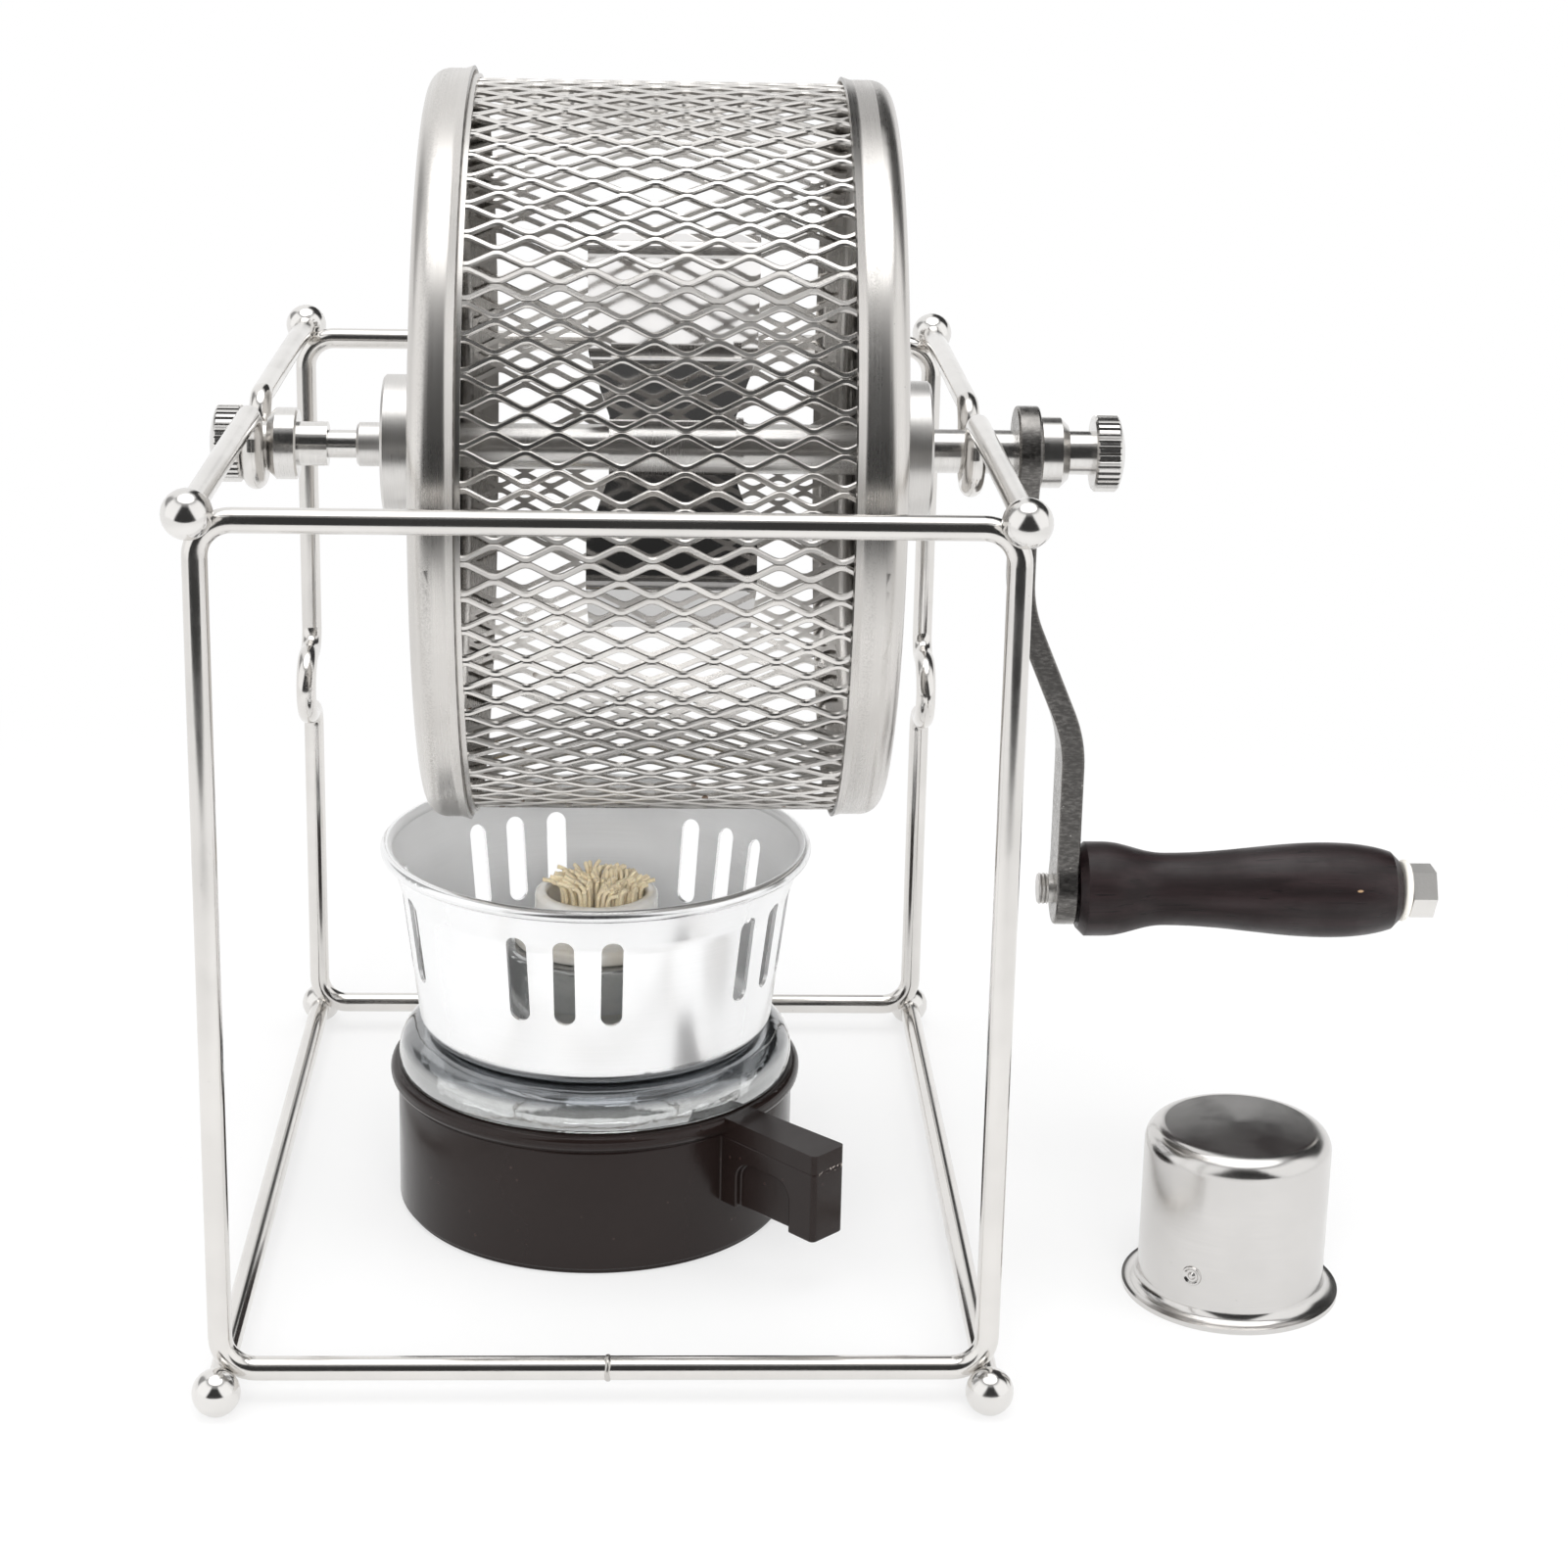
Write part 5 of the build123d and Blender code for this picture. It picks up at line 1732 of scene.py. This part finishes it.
@dataclass(frozen=True)
class Reflections:
    """What polished metal mirrors, as shapes in the directions round the roaster.

    The shapes are a softbox overhead, a pale ceiling behind it with a dark gap, a white panel on each side, a
    white backdrop low behind the roaster, and the dark room that the camera stands in. Each span says where a
    shape starts and where it is full. Tops and bottoms are the direction's own height, depths and sides are
    shares of its level part, and the softbox and the ceiling's depth are laid out one unit overhead.
    """

    least_level: float = 0.001
    least_height: float = 0.05
    softbox_size: Span = (0.56, 0.48)
    softbox_shift: float = 0.06
    softbox_edge: Span = (1.1, 0.92)
    softbox_light: float = 2.2
    ceiling_depth: Span = (0.1, 0.3)
    ceiling_side: Span = (0.75, 0.55)
    gap_side: Span = (0.0, 0.2)
    gap_bottom: Span = (0.26, 0.34)
    gap_depth: Span = (0.0, 0.3)
    gap_top: Span = (0.9, 0.78)
    panel_lean: float = 0.4
    panel_side: Span = (0.58, 0.72)
    panel_light: float = 1.15
    panel_depth: Span = (0.4, 0.1)
    panel_top: Span = (0.9, 0.72)
    backdrop_top: Span = (0.32, 0.2)
    backdrop_depth: Span = (0.0, 0.25)
    room_depth: Span = (-0.45, -0.75)
    room_top: Span = (0.85, 0.6)
    wall_light: float = 0.34
    room_light: float = 0.04

    def draw(self, board: Board) -> Value:
        """Draws the shapes.

        Args:
            board: The world's nodes.

        Returns:
            The socket of each direction's brightness.
        """
        across, away, up = board.split(board.node("ShaderNodeTexCoord").outputs["Generated"])
        level = board.math("MAXIMUM", board.hypot(across, away), self.least_level)
        side = board.math("DIVIDE", across, level)
        depth = board.math("DIVIDE", away, level)
        height = board.math("MAXIMUM", up, self.least_height)
        over_x = board.math("DIVIDE", across, height)
        over_y = board.math("DIVIDE", away, height)
        wide, deep = self.softbox_size
        shifted = board.math("ADD", over_y, self.softbox_shift)
        reach = board.hypot(board.math("DIVIDE", over_x, wide), board.math("DIVIDE", shifted, deep))
        softbox = board.remap(reach, *self.softbox_edge, 0.0, self.softbox_light)
        gap = board.fold(
            "MULTIPLY",
            board.remap(side, *self.gap_side),
            board.remap(up, *self.gap_bottom),
            board.remap(depth, *self.gap_depth),
            board.remap(up, *self.gap_top),
        )
        ceiling = board.fold(
            "MULTIPLY",
            board.remap(over_y, *self.ceiling_depth),
            board.remap(board.math("ABSOLUTE", across), *self.ceiling_side),
            board.math("SUBTRACT", 1.0, gap),
        )
        leaning = board.math("MULTIPLY_ADD", up, self.panel_lean, board.math("ABSOLUTE", side))
        panel = board.fold(
            "MULTIPLY",
            board.remap(leaning, *self.panel_side, 0.0, self.panel_light),
            board.remap(depth, *self.panel_depth),
            board.remap(up, *self.panel_top),
        )
        backdrop = board.math(
            "MULTIPLY", board.remap(up, *self.backdrop_top), board.remap(depth, *self.backdrop_depth)
        )
        room = board.math("MULTIPLY", board.remap(depth, *self.room_depth), board.remap(up, *self.room_top))
        walls = board.remap(board.math("MAXIMUM", room, gap), 0.0, 1.0, self.wall_light, self.room_light)
        return board.fold("MAXIMUM", softbox, ceiling, panel, backdrop, walls)


@dataclass
class Studio:
    """The pale floor, the soft lamps, the background and the camera."""

    place: Point = (6.0488, -607.7273, 291.75)  # the camera's, in millimetres
    yaw: float = 0.0471621
    pitch: float = 0.2820570
    roll: float = -0.0218943
    focal_px: float = 3154.4867
    middle_px: Span = (800.5, 690.0)
    frame_px: float = 1601.0
    sensor_w: float = 36.0
    clip: Span = (0.01, 50.0)
    floor_front: float = -0.45
    floor_back: float = 1.6
    floor_side: float = 1.2
    floor_colour: Colour = (0.93, 0.93, 0.93)
    floor_white: float = 0.6
    floor_fade: Span = (0.2, 0.4)
    fill: float = 0.62
    lamps: tuple[Softbox, ...] = (
        Softbox("overhead_softbox", (0.0, -0.1, 1.25), (0.0, 0.0, 0.1), (1.3, 1.1), 7.0),
        Softbox("left_softbox", (-1.25, -0.45, 0.6), (0.0, 0.0, 0.12), (0.9, 1.2), 4.5),
        Softbox("right_softbox", (1.25, -0.35, 0.6), (0.0, 0.0, 0.12), (0.9, 1.2), 4.5),
        Softbox("front_softbox", (0.05, -1.25, 0.58), (0.0, 0.0, 0.08), (1.0, 0.5), 10.0),
    )
    reflections: Reflections = Reflections()

    def build(self) -> None:
        """Sets up the whole studio."""
        bpy.context.scene.view_settings.view_transform = "Standard"
        self._floor()
        for lamp in self.lamps:
            lamp.hang()
        self._world()
        self._camera()
        LOG.info("studio is set")

    def _floor(self) -> None:
        """Lays a pale table, which fades to white round the roaster and ends before the camera."""
        shape = bmesh.new()
        made = bmesh.ops.create_grid(shape, x_segments=1, y_segments=1, size=0.5)["verts"]
        bmesh.ops.scale(shape, verts=made, vec=(2 * self.floor_side, self.floor_back - self.floor_front, 1.0))
        bmesh.ops.translate(shape, verts=made, vec=(0.0, (self.floor_back + self.floor_front) / 2, 0.0))
        mesh = bpy.data.meshes.new("floor")
        shape.to_mesh(mesh)
        shape.free()
        floor = bpy.data.objects.new("floor", mesh)
        bpy.context.scene.collection.objects.link(floor)
        mesh.materials.append(self._floor_material())

    def _floor_material(self) -> bpy.types.Material:
        """Makes the floor matt for light that falls on it, and mostly white where it is seen or mirrored.

        Returns:
            The floor's material.
        """
        made = bpy.data.materials.new("floor_white")
        made.use_nodes = True
        nodes = made.node_tree.nodes
        nodes.remove(nodes["Principled BSDF"])
        board = Board(made.node_tree)
        matt = board.node("ShaderNodeBsdfDiffuse")
        matt.inputs["Color"].default_value = (*self.floor_colour, 1.0)
        glow = board.node("ShaderNodeEmission")
        rays = board.node("ShaderNodeLightPath").outputs
        far = board.node("ShaderNodeVectorMath", operation="LENGTH")
        board.feed(far.inputs[0], board.node("ShaderNodeTexCoord").outputs["Object"])
        seen = board.fold(
            "MAXIMUM", rays["Is Camera Ray"], rays["Is Transmission Ray"], rays["Is Glossy Ray"]
        )
        white = board.remap(far.outputs["Value"], *self.floor_fade, self.floor_white, 1.0)
        mixed = board.node("ShaderNodeMixShader")
        board.feed(mixed.inputs[0], board.math("MULTIPLY", white, seen))
        board.feed(mixed.inputs[1], matt.outputs[0])
        board.feed(mixed.inputs[2], glow.outputs[0])
        board.feed(nodes["Material Output"].inputs["Surface"], mixed.outputs[0])
        return made

    def _world(self) -> None:
        """Makes the world white where it is seen, even as light, and full of shapes where it is mirrored."""
        world = bpy.data.worlds.new("studio")
        world.use_nodes = True
        bpy.context.scene.world = world
        board = Board(world.node_tree)
        rays = board.node("ShaderNodeLightPath").outputs
        mirrored = board.math("SUBTRACT", self.reflections.draw(board), self.fill)
        lit = board.math("MULTIPLY_ADD", rays["Is Glossy Ray"], mirrored, self.fill)
        seen = board.math("MAXIMUM", rays["Is Camera Ray"], rays["Is Transmission Ray"])
        unseen = board.math("SUBTRACT", 1.0, seen)
        background = world.node_tree.nodes["Background"]
        background.inputs["Color"].default_value = (1.0, 1.0, 1.0, 1.0)
        board.feed(background.inputs["Strength"], board.math("MULTIPLY_ADD", lit, unseen, seen))

    def _camera(self) -> None:
        """Sets the camera where the photograph was taken from."""
        ahead = Vector(
            (
                math.sin(self.yaw) * math.cos(self.pitch),
                math.cos(self.yaw) * math.cos(self.pitch),
                -math.sin(self.pitch),
            )
        )
        right = Vector((math.cos(self.yaw), -math.sin(self.yaw), 0.0))
        down = ahead.cross(right)
        c, s = math.cos(self.roll), math.sin(self.roll)
        across = c * right + s * down
        below = -s * right + c * down
        data = bpy.data.cameras.new("camera")
        data.sensor_width = self.sensor_w
        data.lens = self.focal_px / self.frame_px * data.sensor_width
        data.shift_x = (self.frame_px / 2 - self.middle_px[0]) / self.frame_px
        data.shift_y = (self.middle_px[1] - self.frame_px / 2) / self.frame_px
        data.clip_start, data.clip_end = self.clip
        camera = bpy.data.objects.new("camera", data)
        bpy.context.scene.collection.objects.link(camera)
        turned = Matrix((across, -below, -ahead)).transposed().to_4x4()
        camera.matrix_world = Matrix.Translation(Vector(self.place) * MM) @ turned
        bpy.context.scene.camera = camera


def main() -> None:
    """Loads the frame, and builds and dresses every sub-assembly."""
    logging.basicConfig(level=logging.INFO, format="%(name)s: %(message)s")
    for old in list(bpy.data.objects):
        bpy.data.objects.remove(old)
    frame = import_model()
    shop = Workshop(frame)
    for part in (WireStand(), Drum(), Crank(), Burner(), SnufferCap()):
        part.build(shop)
    Studio().build()
    LOG.info("sizes written")


if __name__ == "__main__":
    main()
